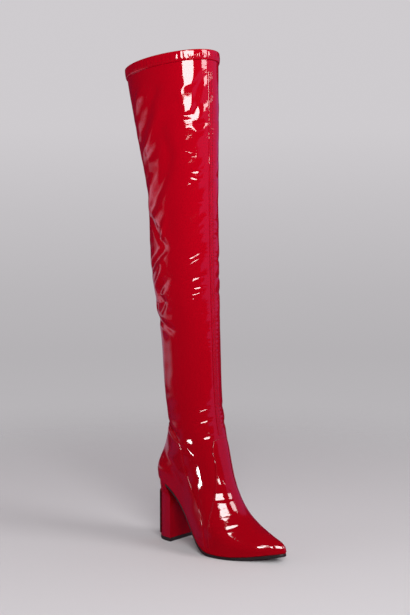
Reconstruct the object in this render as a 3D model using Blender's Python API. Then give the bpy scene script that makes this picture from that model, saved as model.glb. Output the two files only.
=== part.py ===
"""Thigh-high boot for the right foot: pointed toe, block heel, thin sole and a zip on the leg's inner side.

Sizes are in millimetres and become metres in to_world. Points are worked out as (along, across, height).
Along runs from the heel to the toe, across to the outer side and height up from the floor, with zero at the
middle of the heel's top piece. In the scene the toe points to -Y and the outer side to -X.
"""

import math

import bmesh
import bpy
import numpy as np

MM = 0.001
GAP = 0.3
SHARP_ANGLE = math.radians(40)

# Driving sizes
TOE_TIP = 212.0
HEEL_SEAT_BACK = -18.0
HEEL_HEIGHT = 97.0
UPPER_WALL = 1.6
OVERLAY = 0.9
HEEL_ROUND = 26.0
TOE_ROUND = 16.0
TOE_BOX_SIDE, TOE_BOX_TOP, SIDE_SWELL = 2.3, 2.2, 0.30
FOOT_COLUMN_SHIFT = 0.80
FIRST_LEG_ROW, LAST_FOOT_ROW = 3.0, 11.5
LASTING_TOE, LASTING_HEEL, LASTING_WIDTH = 13.0, 8.0, 0.74

SOLE_THICK, SOLE_WAIST_THICK, SOLE_EDGE, SOLE_CHAMFER = 4.4, 2.6, 1.4, 0.7
SOLE_THINS = (30.0, 100.0)
INSOLE_THICK, INSOLE_INSET, INSOLE_ENDS = 2.2, 2.2, (-15.0, 202.0)
INSOLE_TOE_INSET, INSOLE_TOE_FROM = 6.0, 60.0

HEEL_BREAST, HEEL_BACK, HEEL_HALF = 14.0, -19.0, 25.0
HEEL_BREAST_TOP, HEEL_SQUARE, HEEL_FLARE_FROM = 9.5, 2.6, 0.74
HEEL_LEVELS = (0.0, 0.4, HEEL_FLARE_FROM, 0.8, 0.85, 0.9, 0.94, 0.97, 1.0)
TOP_PIECE = 5.5
PLATE_LOW, PLATE_HIGH, PLATE_THICK, PLATE_FROM = 9.0, 76.0, 1.4, 0.72

BAND_HIGH, BAND_THICK = 14.0, 1.2
FRONT_SEAM_HALF, FRONT_SEAM_THICK, FRONT_SEAM_ROWS = 5.0, 0.7, (12.35, 23.6)

ZIP_ROWS = (4.0, 15.9)
ZIP_TAPE_PAST, ZIP_TEETH_SHORT, SLIDER_BELOW = (0.3, 0.2), (0.1, 0.05), 0.12
ZIP_SLIT_HALF, ZIP_TEETH_HALF, ZIP_TEETH_THICK = 2.2, 1.6, 1.8
ZIP_TAPE_THICK = 0.8
SLIDER_WIDE, SLIDER_LONG, SLIDER_THICK, SLIDER_LIFT = 8.0, 11.0, 2.0, 0.5
LUG_THICK, LUG_ROUND, LUG_INNER = 1.0, 1.2, 2.4
PIN_RADIUS, PIN_HEIGHT = 0.6, 4.2
PULL_HOLE, PULL_KNUCKLE, PULL_NECK_HALF = 0.95, 1.4, 2.0
PULL_THICK, PULL_HALF, PULL_NECK, PULL_LONG, PULL_EYE = 1.2, 3.2, 3.0, 19.0, 1.6
PULL_JOIN = 0.7

# The sole's edge, where the upper meets it
SOLE_COLUMNS = ("along", "height", "outer", "inner", "middle")
SOLE_ROWS = (
    (HEEL_SEAT_BACK, HEEL_HEIGHT, 26.0, 26.0, 0.0),
    (-7.0, 96.0, 28.0, 28.0, 0.0),
    (5.0, 92.8, 29.5, 29.0, 0.0),
    (20.0, 85.0, 30.0, 28.5, 0.0),
    (35.0, 72.0, 29.5, 26.5, 0.0),
    (50.0, 55.0, 30.0, 25.5, 0.0),
    (65.0, 36.0, 33.0, 26.5, 0.0),
    (80.0, 19.5, 37.0, 29.5, 0.0),
    (95.0, 8.5, 40.5, 33.0, 0.0),
    (110.0, 4.6, 41.5, 35.5, -0.5),
    (125.0, 4.0, 40.5, 36.0, -1.5),
    (140.0, 4.2, 37.5, 35.0, -3.0),
    (155.0, 5.2, 32.0, 31.5, -5.0),
    (170.0, 7.0, 25.5, 25.5, -7.0),
    (185.0, 9.5, 18.0, 18.0, -9.0),
    (199.0, 12.0, 10.5, 10.5, -11.0),
    (TOE_TIP, 14.5, 5.0, 5.0, -12.5),
)

# Sections of the upper, from the sole's edge to the collar, with the leg's half-widths
SECTION_COLUMNS = ("front_along", "front_height", "back_along", "back_height", "outer", "inner")
SECTION_ROWS = (
    (TOE_TIP, 14.5, HEEL_SEAT_BACK, HEEL_HEIGHT, 30.0, 30.0),
    (210.6, 21.5, -19.8, 101.0, 30.0, 30.0),
    (205.0, 27.3, -21.0, 105.5, 31.0, 31.0),
    (194.0, 32.0, -21.5, 110.5, 32.0, 32.0),
    (179.0, 37.3, -21.3, 115.5, 33.0, 33.0),
    (163.0, 44.5, -20.2, 121.0, 33.0, 33.0),
    (148.5, 54.0, -18.5, 127.0, 33.5, 33.0),
    (136.0, 66.5, -16.3, 133.5, 34.0, 33.0),
    (126.0, 82.0, -13.6, 140.5, 34.0, 33.5),
    (118.0, 100.0, -10.5, 148.0, 35.0, 34.0),
    (111.5, 120.0, -7.0, 156.5, 36.0, 35.0),
    (105.5, 142.0, -3.0, 166.5, 37.0, 36.0),
    (99.0, 166.0, 0.5, 179.0, 38.0, 37.0),
    (93.0, 192.0, 0.0, 196.0, 38.2, 37.5),
    (88.5, 225.0, -5.5, 226.0, 38.7, 38.0),
    (85.8, 265.0, -9.6, 265.0, 39.5, 39.0),
    (83.8, 310.0, -12.8, 308.0, 40.3, 40.0),
    (81.7, 360.0, -20.0, 356.0, 42.3, 42.0),
    (79.5, 410.0, -30.3, 405.0, 45.5, 45.5),
    (78.3, 460.0, -35.5, 453.0, 46.8, 46.8),
    (77.3, 510.0, -37.0, 500.0, 46.8, 46.8),
    (77.0, 560.0, -43.0, 548.0, 48.3, 48.3),
    (76.6, 610.0, -54.4, 596.0, 51.9, 51.9),
    (75.7, 668.0, -68.0, 650.0, 55.7, 55.7),
    (74.2, 743.0, -83.5, 718.0, 59.8, 59.8),
)
COLLAR_ROW = len(SECTION_ROWS) - 1

# The zip's line on the inner side: section row and place along
ZIP_LINE = ((0, 37.0), (4, 38.5), (8, 40.0), (10, 44.0), (12, 48.0), (14, 47.5), (16, 45.0), (24, 0.0))

# The vamp's seam, seen from the side: place along and height. The vamp lies in front of it
VAMP_SEAM = (
    (116.0, -5.0), (112.0, 10.0), (109.0, 45.0), (107.5, 88.0), (104.0, 117.0),
    (100.0, 139.0), (95.5, 158.0), (95.0, 165.0), (97.5, 169.0), (102.0, 170.5),
)

# The counter's seam: place along and height on the outer side, then on the inner. The counter lies behind it
COUNTER_SEAM = (
    (108.0, -5.0, 33.0, 55.0),
    (103.0, 25.0, 33.0, 80.0),
    (91.0, 63.0, 32.5, 95.0),
    (77.0, 83.0, 32.5, 108.0),
    (62.0, 107.0, 33.0, 122.0),
    (54.0, 129.0, 33.0, 134.0),
    (50.0, 153.0, 31.0, 146.0),
    (43.0, 164.5, 26.0, 155.0),
    (28.0, 177.0, 16.0, 166.0),
    (0.0, 186.0, -4.0, 183.0),
    (-30.0, 190.0, -30.0, 190.0),
)
OVERLAY_LOW_ROW, OVERLAY_ROWS_TO, OVERLAY_MARGIN = 0.2, 13.0, 14.0
CUT_HALF, CUT_CHANGE_HALF, CUT_AHEAD, CUT_BEHIND, CUT_FLOOR = 66.0, 2.0, 20.0, 40.0, -5.0

# How finely the facets follow these forms: places along the sole, shared by all that meets there, and rows
STATIONS = (
    TOE_TIP, 210.5, 207.0, 201.0, 193.0, 183.0, 170.0, 156.0, 142.0, 128.0, 115.0, 103.0, 94.0, 86.0, 78.0,
    69.0, 59.0, 48.0, 37.0, 24.0, HEEL_BREAST_TOP, 1.0, -6.0, -11.5, -15.5, -17.4, HEEL_SEAT_BACK,
)
ZIP_STATION = 37.0
INSOLE_COLUMNS, PLATE_COLUMNS = 5, 7
UPPER_ROWS = (
    0, OVERLAY_LOW_ROW, 0.7, 1.3, 2, 3, 4, 5, 6, 7, 8, 9, 10, 11, 12, 13, 14, 15, ZIP_ROWS[1], 17.3, 18.6,
    20, 21.3, 22.7, 24,
)


def spline(places, values):
    """A natural cubic curve through the points, as a function of place."""
    x = np.asarray(places, float)
    y = np.asarray(values, float)
    count = len(x)
    step = np.diff(x)
    matrix = np.eye(count)
    right = np.zeros(count)
    for i in range(1, count - 1):
        matrix[i, i - 1:i + 2] = step[i - 1], 2 * (step[i - 1] + step[i]), step[i]
        right[i] = 6 * ((y[i + 1] - y[i]) / step[i] - (y[i] - y[i - 1]) / step[i - 1])
    bend = np.linalg.solve(matrix, right)

    def value(place):
        place = np.clip(np.asarray(place, float), x[0], x[-1])
        i = np.clip(np.searchsorted(x, place) - 1, 0, count - 2)
        width = x[i + 1] - x[i]
        a = (x[i + 1] - place) / width
        b = 1 - a
        curved = (a**3 - a) * bend[i] + (b**3 - b) * bend[i + 1]
        return a * y[i] + b * y[i + 1] + curved * width**2 / 6

    return value


def columns_of(names, rows, places=None):
    """One curve for each named column of a table, over the given places or the row number."""
    table = np.array(rows, float)
    places = np.arange(len(rows)) if places is None else places
    return {name: spline(places, table[:, i]) for i, name in enumerate(names)}


def line_of(points):
    table = np.array(points, float)
    return spline(table[:, 0], table[:, 1])


SOLE = columns_of(SOLE_COLUMNS, SOLE_ROWS, [row[0] for row in SOLE_ROWS])
SECTION = columns_of(SECTION_COLUMNS, SECTION_ROWS)
RIDGE_IN_LEG = ((-60.0, 700.0), (0.0, 460.0), (40.0, 280.0))
RIDGE_TOP_ROW, RIDGE_JOIN_ROWS = 11, 4


def ridge_line():
    """The vamp's ridge as a height over the place along, carried on steeply inside the leg."""
    rows = np.linspace(RIDGE_TOP_ROW, 0, 500)
    along = SECTION["front_along"](rows)
    height = SECTION["front_height"](rows)
    joined = SECTION_ROWS[RIDGE_TOP_ROW:RIDGE_TOP_ROW - RIDGE_JOIN_ROWS:-1]
    inside = line_of(RIDGE_IN_LEG + tuple((row[0], row[1]) for row in joined))
    start = np.linspace(RIDGE_IN_LEG[0][0], along[0], 200, endpoint=False)
    places = np.concatenate([start, along])
    heights = np.concatenate([inside(start), height])
    return lambda place: np.interp(place, places, heights)


RIDGE = ridge_line()


def eased(value, low, high):
    """0 below low, 1 above high and a smooth rise between."""
    t = np.clip((value - low) / (high - low), 0, 1)
    return t**3 * (t * (6 * t - 15) + 10)


def end_round(distance, size):
    """How much of its width an outline has at this distance from its end."""
    t = np.clip(distance / size, 0, 1)
    return np.sqrt(np.maximum(1 - (1 - t) ** 3, 0))


def sole_half(along, side):
    width = np.where(side > 0, SOLE["outer"](along), SOLE["inner"](along))
    return width * end_round(along - HEEL_SEAT_BACK, HEEL_ROUND) * end_round(TOE_TIP - along, TOE_ROUND)


def column_shift(row):
    return FOOT_COLUMN_SHIFT * (1 - eased(row, FIRST_LEG_ROW, LAST_FOOT_ROW))


def upper_point(row, angle):
    """The upper's outer surface. Row runs up the sections, angle from the front round the outer side."""
    row, angle = np.broadcast_arrays(np.asarray(row, float), np.asarray(angle, float))
    s = {name: curve(row) for name, curve in SECTION.items()}
    leg = eased(row, FIRST_LEG_ROW, LAST_FOOT_ROW)
    side = np.where(np.sin(angle) >= 0, 1.0, -1.0)
    turn = (1 - np.cos(angle)) / 2
    share = turn + column_shift(row) * turn * (1 - turn)
    front = s["front_along"]
    along = front + (s["back_along"] - front) * share

    base = SOLE["height"](along)
    front_rise = s["front_height"] - SOLE["height"](front)
    back_rise = s["back_height"] - SOLE["height"](s["back_along"])
    on_foot = base + front_rise + (back_rise - front_rise) * share
    on_leg = s["front_height"] + (s["back_height"] - s["front_height"]) * share
    height = on_foot + (on_leg - on_foot) * leg

    level = np.clip((height - base) / np.maximum(RIDGE(along) - base, 1e-6), 0, 1)
    box = (1 - level**TOE_BOX_TOP) ** (1 / TOE_BOX_SIDE) * (1 + SIDE_SWELL * level * (1 - level))
    seat_along = along + (HEEL_SEAT_BACK - s["back_along"]) * share**3
    foot_half = sole_half(seat_along, side) * box
    oval = np.sqrt(np.maximum(4 * share * (1 - share), 0))
    leg_half = np.where(side > 0, s["outer"], s["inner"]) * oval
    across = side * (foot_half + (leg_half - foot_half) * leg) + SOLE["middle"](along) * (1 - leg)
    return np.stack([along, across, height], -1)


def upper_normal(row, angle):
    """Unit vectors out of the upper's surface."""
    step_row, step_angle = 0.02, 0.01
    low = np.clip(row - step_row, 0, COLLAR_ROW)
    high = np.clip(row + step_row, 0, COLLAR_ROW)
    up = upper_point(high, angle) - upper_point(low, angle)
    forward = upper_point(row, angle + step_angle) - upper_point(row, angle - step_angle)
    normal = np.cross(forward, up)
    return normal / np.linalg.norm(normal, axis=-1, keepdims=True)


def lifted(row, angle, lift):
    row, angle = np.broadcast_arrays(np.asarray(row, float), np.asarray(angle, float))
    return upper_point(row, angle) + upper_normal(row, angle) * lift


def angle_speed(row, angle):
    """Millimetres round the upper for each radian of angle."""
    step = 0.01
    moved = upper_point(row, angle + step) - upper_point(row, angle - step)
    return np.linalg.norm(moved, axis=-1) / (2 * step)


def angle_at(row, along):
    """The angle from the front at which a section crosses a place along, on either side."""
    front = SECTION["front_along"](row)
    share = np.clip((front - along) / (front - SECTION["back_along"](row)), 0, 1)
    shift = np.maximum(column_shift(row), 1e-6)
    turn = ((1 + shift) - np.sqrt((1 + shift) ** 2 - 4 * shift * share)) / (2 * shift)
    return np.arccos(np.clip(1 - 2 * turn, -1, 1))


def zip_angle(row):
    return 2 * math.pi - angle_at(row, line_of(ZIP_LINE)(row))


def to_world(points):
    points = np.asarray(points, float)
    return np.stack([-points[..., 1], -points[..., 0], points[..., 2]], -1) * MM


def material(name, colour, roughness, metallic=0.0):
    made = bpy.data.materials.new(name)
    made.use_nodes = True
    shader = made.node_tree.nodes["Principled BSDF"]
    shader.inputs["Base Color"].default_value = (*colour, 1)
    shader.inputs["Roughness"].default_value = roughness
    shader.inputs["Metallic"].default_value = metallic
    return made


def add_object(name, points, faces, look, world=True):
    """A closed mesh with its faces pointing out. Points that no face uses are dropped."""
    used = sorted({i for face in faces for i in face})
    place = {old: new for new, old in enumerate(used)}
    points = to_world(points) if world else np.asarray(points, float) * MM
    mesh = bpy.data.meshes.new(name)
    mesh.from_pydata([points[i] for i in used], [], [[place[i] for i in face] for face in faces])
    shape = bmesh.new()
    shape.from_mesh(mesh)
    bmesh.ops.recalc_face_normals(shape, faces=shape.faces)
    shape.to_mesh(mesh)
    shape.free()
    mesh.shade_smooth()
    mesh.set_sharp_from_angle(angle=SHARP_ANGLE)
    mesh.materials.append(look)
    made = bpy.data.objects.new(name, mesh)
    bpy.context.scene.collection.objects.link(made)
    return made


def shell(name, outer, inner, look, wraps=False, keep=None):
    """A wall between two grids of points. keep says which cells of the grid are there."""
    rows, columns = outer.shape[:2]
    cells = columns if wraps else columns - 1
    keep = np.ones((rows - 1, cells), bool) if keep is None else keep
    points = np.concatenate([outer.reshape(-1, 3), inner.reshape(-1, 3)])
    back = rows * columns

    def index(r, c):
        return r * columns + c % columns

    faces = []
    edges = {}
    for r in range(rows - 1):
        for c in range(cells):
            if keep[r, c]:
                ring = [index(r, c), index(r, c + 1), index(r + 1, c + 1), index(r + 1, c)]
                for half in ([ring[0], ring[1], ring[2]], [ring[0], ring[2], ring[3]]):
                    faces += [half, [i + back for i in reversed(half)]]
                for a, b in zip(ring, ring[1:] + ring[:1]):
                    edges[a, b] = True
    faces += [[b, a, a + back, b + back] for a, b in edges if (b, a) not in edges]
    return add_object(name, points, faces, look)


def loft(name, loops, look, wraps=False):
    """A solid through loops with the same number of points. Its ends join the loop's two sides."""
    loops = np.asarray(loops, float)
    count, size = loops.shape[:2]
    faces = []
    for r in range(count if wraps else count - 1):
        for c in range(size):
            d = (c + 1) % size
            following = (r + 1) % count
            faces.append([r * size + c, r * size + d, following * size + d, following * size + c])
    if not wraps:
        for start in (0, (count - 1) * size):
            for c in range(size // 2):
                ends = [start + c, start + c + 1, start + size - 2 - c, start + size - 1 - c]
                kept = list(dict.fromkeys(ends))
                if len(kept) > 2:
                    faces.append(kept)
    return add_object(name, loops.reshape(-1, 3), faces, look)


def combine(base, tools, operation):
    """Adds each tool to the base, or cuts it away, and leaves the tools out of the model."""
    for tool in tools:
        step = base.modifiers.new(tool.name, "BOOLEAN")
        step.operation = operation
        step.object = tool
        tool.parent = base
        tool.hide_render = True
        tool.display_type = "WIRE"


def upper_angles(rows):
    """The upper's columns. On the inner side they follow the zip, with one cell as wide as its slit."""
    base = angle_at(0.0, np.array(STATIONS))
    zip_base = float(angle_at(0.0, ZIP_STATION))
    zip_at = zip_angle(rows)
    slit = ZIP_SLIT_HALF / angle_speed(rows, zip_at)
    from_back = math.pi - base[base > zip_base + 1e-6][::-1]
    inner_back = math.pi + from_back / (math.pi - zip_base) * (zip_at - slit - math.pi)
    from_front = base[(base < zip_base - 1e-6) & (base > 0)][::-1]
    inner_front = 2 * math.pi - from_front / zip_base * (2 * math.pi - zip_at - slit)
    outer = base[:-1] + 0 * rows
    return np.concatenate([outer, inner_back, zip_at - slit, zip_at + slit, inner_front], axis=1)


def zip_column():
    return len(STATIONS) - 1 + sum(place < ZIP_STATION for place in STATIONS)


def make_upper(look):
    rows = np.array(UPPER_ROWS, float)[:, None]
    angles = upper_angles(rows)
    wall = upper_point(rows, angles)
    normal = upper_normal(rows, angles)

    # The lasting margin turns in under the foot, so the wall's lowest ring runs on as a narrow shelf
    edge = wall[0]
    shelf_along = np.clip(edge[:, 0], HEEL_SEAT_BACK + LASTING_HEEL, TOE_TIP - LASTING_TOE)
    shelf_across = SOLE["middle"](shelf_along) + (edge[:, 1] - SOLE["middle"](edge[:, 0])) * LASTING_WIDTH
    shelf = np.stack([shelf_along, shelf_across, SOLE["height"](shelf_along)], -1)
    upward = np.array([0.0, 0.0, 1.0])
    level_out = normal[0] * [1, 1, 0]
    level_out /= np.linalg.norm(level_out, axis=-1, keepdims=True)
    inside = wall - normal * UPPER_WALL
    inside[0] = edge - level_out * UPPER_WALL
    inside[0, :, 2] = SOLE["height"](inside[0, :, 0]) + UPPER_WALL
    outside = np.concatenate([shelf[None], wall])
    inside = np.concatenate([(shelf + upward * UPPER_WALL)[None], inside])

    keep = np.ones((len(outside) - 1, angles.shape[1]), bool)
    slit_rows = (rows[:-1, 0] >= ZIP_ROWS[0]) & (rows[1:, 0] <= ZIP_ROWS[1])
    keep[1:, zip_column()] = ~slit_rows
    return shell("upper", outside, inside, look, wraps=True, keep=keep)


def rows_between(low, high):
    """The upper's own rows inside a range, with the range's ends."""
    return [low] + [row for row in UPPER_ROWS if low < row < high] + [high]


def strip(name, rows, middle, half, lift, thick, look):
    """A narrow strip of the upper's own surface about an angle, half as wide as given, lifted off it."""
    rows = np.asarray(rows, float)[:, None]
    reach = half / angle_speed(rows, middle(rows))
    angles = middle(rows) + reach * np.array([[-1, 0, 1]])
    return shell(name, lifted(rows, angles, lift + thick), lifted(rows, angles, lift), look)


def skin(name, wanted, cutter, look):
    """A piece of the upper's own form, thickened outwards, where wanted says, and trimmed by a cutter."""
    rows = np.array(rows_between(OVERLAY_LOW_ROW, OVERLAY_ROWS_TO), float)[:, None]
    angles = upper_angles(rows)
    near = wanted(upper_point(rows, angles))
    ahead = np.roll(near, -1, axis=1)
    keep = near[:-1] | near[1:] | ahead[:-1] | ahead[1:]
    top = lifted(rows, angles, GAP + OVERLAY)
    under = lifted(rows, angles, GAP)
    made = shell(name, top, under, look, wraps=True, keep=keep)
    combine(made, [cutter], "INTERSECT")
    return made


def prism(name, outline, look):
    """A block from an outer outline to an inner one. Each row holds (along, height) for both."""
    outline = np.asarray(outline, float)
    count = len(outline)
    levels = ((0, CUT_HALF), (0, CUT_CHANGE_HALF), (2, -CUT_CHANGE_HALF), (2, -CUT_HALF))
    points = []
    for i, across in levels:
        points.append(np.stack([outline[:, i], np.full(count, across), outline[:, i + 1]], -1))
    faces = []
    for start in range(0, (len(levels) - 1) * count, count):
        for i in range(count):
            j = (i + 1) % count
            faces.append([start + i, start + j, start + count + j, start + count + i])
    faces += [list(range(count)), list(range((len(levels) - 1) * count, len(levels) * count))]
    return add_object(name, np.concatenate(points), faces, look)


def make_outsole(look):
    places = [place for place in STATIONS[1:] if place > HEEL_BREAST_TOP]
    places = [TOE_TIP - GAP] + places + [HEEL_BREAST_TOP + GAP]
    loops = []
    for along in places:
        top = float(SOLE["height"](along)) - GAP
        thick = SOLE_WAIST_THICK + (SOLE_THICK - SOLE_WAIST_THICK) * float(eased(along, *SOLE_THINS))
        low = max(top - thick, 0.0)
        middle = float(SOLE["middle"](along))
        outer = middle + float(sole_half(along, 1.0)) + SOLE_EDGE
        inner = middle - float(sole_half(along, -1.0)) - SOLE_EDGE
        half_way = (outer + inner) / 2
        section = ((outer, top), (outer, low + SOLE_CHAMFER), (outer - SOLE_CHAMFER, low), (half_way, low),
                   (inner + SOLE_CHAMFER, low), (inner, low + SOLE_CHAMFER), (inner, top), (half_way, top))
        loops.append([(along, across, height) for across, height in section])
    return loft("outsole", loops, look)


def insole_half(along, side):
    """The sole's outline set in by the wall, and drawn back from the heel's and the toe's end."""
    from_heel = INSOLE_INSET * (1 - float(eased(along, HEEL_SEAT_BACK, HEEL_SEAT_BACK + 2 * HEEL_ROUND)))
    from_toe = INSOLE_TOE_INSET * float(eased(along, TOE_TIP - INSOLE_TOE_FROM, TOE_TIP))
    return float(sole_half(along - from_heel + from_toe, side)) - INSOLE_INSET


def make_insole(look):
    places = [place for place in STATIONS if INSOLE_ENDS[0] < place < INSOLE_ENDS[1]]
    places = [INSOLE_ENDS[1]] + places + [INSOLE_ENDS[0]]
    share = np.linspace(-1, 1, INSOLE_COLUMNS)
    grids = []
    for rise in (UPPER_WALL + GAP, UPPER_WALL + GAP + INSOLE_THICK):
        grid = []
        for along in places:
            half = np.where(share > 0, insole_half(along, 1.0), insole_half(along, -1.0))
            across = float(SOLE["middle"](along)) + half * share
            height = float(SOLE["height"](along)) + rise
            grid.append([(along, place, height) for place in across])
        grids.append(np.array(grid))
    return shell("insole", grids[0], grids[1], look)


def heel_side(breast, back, half, share):
    """One side of the heel's outline, by share of its depth from the breast's corner to the back."""
    along = breast + (back - breast) * share
    across = half * np.maximum(1 - share**HEEL_SQUARE, 0) ** (1 / HEEL_SQUARE)
    return along, across


def both_sides(along, across, height):
    """An outline from one corner of the breast round the back to the other."""
    outer = np.stack([along, across, height], -1)
    return np.concatenate([outer, (outer * [1, -1, 1])[-2::-1]])


def heel_shares():
    places = np.array([place for place in STATIONS if place <= HEEL_BREAST_TOP])
    return (HEEL_BREAST_TOP - places) / (HEEL_BREAST_TOP - HEEL_SEAT_BACK)


def heel_loop(level):
    """The heel's outline at a share of its height, from the straight block up to the cup under the seat."""
    along, across = heel_side(HEEL_BREAST, HEEL_BACK, HEEL_HALF, heel_shares())
    top_along = HEEL_BREAST_TOP + (HEEL_SEAT_BACK - HEEL_BREAST_TOP) * heel_shares()
    cup = eased(level, HEEL_FLARE_FROM, 1.0)
    place = along + (top_along - along) * cup
    width = across + (sole_half(top_along, 1.0) - across) * cup
    base = TOP_PIECE + GAP
    height = base + (SOLE["height"](place) - GAP - base) * level
    return both_sides(place, width, height)


def make_heel(look, top_look, plate_look):
    loft("heel_block", [heel_loop(level) for level in HEEL_LEVELS], look)
    along, across = heel_side(HEEL_BREAST, HEEL_BACK, HEEL_HALF, heel_shares())
    levels = [both_sides(along, across, np.full(len(along), height)) for height in (0.0, TOP_PIECE)]
    loft("heel_top_piece", levels, top_look)

    # The plate follows the back of the block, between two outlines a little larger than it
    shares = 1 - (1 - PLATE_FROM) * np.linspace(1, 0, PLATE_COLUMNS) ** 2
    sheets = []
    for grow in (GAP + PLATE_THICK, GAP):
        along, across = heel_side(HEEL_BREAST, HEEL_BACK - grow, HEEL_HALF + grow, shares)
        sheets.append(np.array([both_sides(along, across, np.full(len(along), height))
                                for height in (PLATE_LOW, PLATE_HIGH)]))
    shell("heel_back_plate", sheets[0], sheets[1], plate_look)


def make_collar_band(look):
    """A folded band over the top edge: an upside-down channel run round the collar."""
    angles = upper_angles(np.array([[float(COLLAR_ROW)]]))[0]
    top = upper_point(COLLAR_ROW, angles)
    below = upper_point(COLLAR_ROW - 0.2, angles)
    rise = (top - below) / np.linalg.norm(top - below, axis=-1, keepdims=True)
    out = upper_normal(np.full(len(angles), COLLAR_ROW), angles)
    out -= rise * np.sum(out * rise, axis=-1, keepdims=True)
    far = -UPPER_WALL - GAP
    profile = (
        (-BAND_HIGH, GAP), (-BAND_HIGH, GAP + BAND_THICK), (GAP + BAND_THICK, GAP + BAND_THICK / 2),
        (GAP + BAND_THICK, far - BAND_THICK / 2), (-BAND_HIGH, far - BAND_THICK), (-BAND_HIGH, far),
        (GAP, far), (GAP, GAP),
    )
    loops = [[top[i] + rise[i] * up + out[i] * off for up, off in profile] for i in range(len(angles))]
    return loft("collar_band", loops, look, wraps=True)


def make_overlays(look):
    vamp = np.array(VAMP_SEAM)
    vamp_top = vamp[-1, 1]
    ahead = np.array([[TOE_TIP + CUT_AHEAD, vamp_top], [TOE_TIP + CUT_AHEAD, CUT_FLOOR]])
    outline = np.concatenate([vamp, ahead])
    cutter = prism("vamp_cutter", np.concatenate([outline, outline], axis=1), look)
    seam = line_of(vamp[:, ::-1])

    def on_vamp(points):
        along, height = points[..., 0], points[..., 2]
        return (along > seam(height) - OVERLAY_MARGIN) & (height < vamp_top + OVERLAY_MARGIN)

    skin("vamp", on_vamp, cutter, look)

    counter = np.array(COUNTER_SEAM)
    reach, top = counter[:, 0].max(), counter[:, 1].max() + OVERLAY_MARGIN
    behind = np.array([[HEEL_SEAT_BACK - CUT_BEHIND, CUT_FLOOR, HEEL_SEAT_BACK - CUT_BEHIND, CUT_FLOOR]])
    cutter = prism("counter_cutter", np.concatenate([counter, behind]), look)

    def on_counter(points):
        return (points[..., 0] < reach) & (points[..., 2] < top)

    skin("heel_counter", on_counter, cutter, look)

    rows = rows_between(*FRONT_SEAM_ROWS)
    strip("front_seam", rows, lambda row: 0 * row, FRONT_SEAM_HALF, GAP, FRONT_SEAM_THICK, look)


def box(name, size, centre, look):
    """A block in the slider's own axes, in millimetres."""
    shape = bmesh.new()
    bmesh.ops.create_cube(shape, size=1.0)
    points = [[v.co[i] * size[i] + centre[i] for i in range(3)] for v in shape.verts]
    faces = [[v.index for v in face.verts] for face in shape.faces]
    shape.free()
    return add_object(name, points, faces, look, world=False)


def rod(name, radius, length, centre, look, sides=16, axis=0):
    """A cylinder along one axis, in the slider's own axes."""
    turn = np.linspace(0, 2 * math.pi, sides, endpoint=False)
    others = [i for i in range(3) if i != axis]
    points = []
    for end in (-length / 2, length / 2):
        for angle in turn:
            point = list(centre)
            point[axis] += end
            point[others[0]] += radius * math.cos(angle)
            point[others[1]] += radius * math.sin(angle)
            points.append(point)
    faces = [list(range(sides)), list(range(sides, 2 * sides))]
    faces += [[i, (i + 1) % sides, sides + (i + 1) % sides, sides + i] for i in range(sides)]
    return add_object(name, points, faces, look, world=False)


def make_zip(tape_look, metal):
    low, high = ZIP_ROWS
    rows = np.array(rows_between(low - ZIP_TAPE_PAST[0], high + ZIP_TAPE_PAST[1]), float)[:, None]
    angles = upper_angles(rows)[:, zip_column() - 1:zip_column() + 3]
    behind = -UPPER_WALL - GAP
    tape_back = lifted(rows, angles, behind - ZIP_TAPE_THICK)
    shell("zip_tape", lifted(rows, angles, behind), tape_back, tape_look)
    rows = rows_between(low + ZIP_TEETH_SHORT[0], high - ZIP_TEETH_SHORT[1])
    strip("zip_teeth", rows, zip_angle, ZIP_TEETH_HALF, -UPPER_WALL, ZIP_TEETH_THICK, metal)

    # Slider and pull share upright axes: x along the pin, y out of the leg, z up
    row = high - SLIDER_BELOW
    seat = upper_point(row, zip_angle(row))
    out = to_world(upper_normal(row, zip_angle(row))) / MM
    turn = math.atan2(out[1], out[0]) - math.pi / 2
    centre = to_world(seat)
    face = SLIDER_LIFT + SLIDER_THICK
    size = (SLIDER_WIDE, SLIDER_THICK, SLIDER_LONG)
    slider = box("zip_slider", size, (0, SLIDER_LIFT + SLIDER_THICK / 2, 0), metal)
    lug_top = PIN_HEIGHT + LUG_ROUND
    lug_tall = lug_top - face + GAP
    tools = []
    for side in (-1, 1):
        place = (side * (LUG_INNER + LUG_THICK / 2), lug_top - lug_tall / 2, 0)
        tools.append(box("lug", (LUG_THICK, lug_tall, 2 * LUG_ROUND), place, metal))
    tools.append(rod("pin", PIN_RADIUS, 2 * LUG_INNER + LUG_THICK, (0, PIN_HEIGHT, 0), metal))
    combine(slider, tools, "UNION")
    slider.location = centre
    slider.rotation_euler = (0, 0, turn)

    pull = rod("zip_pull", PULL_KNUCKLE, 2 * PULL_NECK_HALF, (0, 0, 0), metal, sides=20)
    neck_place = (0, 0, -PULL_NECK / 2 - PULL_JOIN)
    neck = box("pull_neck", (2 * PULL_NECK_HALF, PULL_THICK, PULL_NECK + 1), neck_place, metal)
    plate_long = PULL_LONG - PULL_NECK
    plate_place = (0, 0, -PULL_NECK - plate_long / 2)
    plate = box("pull_plate", (2 * PULL_HALF, PULL_THICK, plate_long), plate_place, metal)
    combine(pull, [neck, plate], "UNION")
    bore = rod("pull_bore", PULL_HOLE, 2 * PULL_NECK_HALF + 2, (0, 0, 0), metal, sides=20)
    eye = rod("pull_eye", PULL_EYE, 3 * PULL_THICK, (0, 0, -PULL_LONG + 2 * PULL_EYE), metal, axis=1)
    combine(pull, [bore, eye], "DIFFERENCE")
    hinge = np.array([-math.sin(turn), math.cos(turn), 0]) * PIN_HEIGHT * MM
    pull.location = centre + hinge
    pull.rotation_euler = (0, 0, turn)


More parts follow.
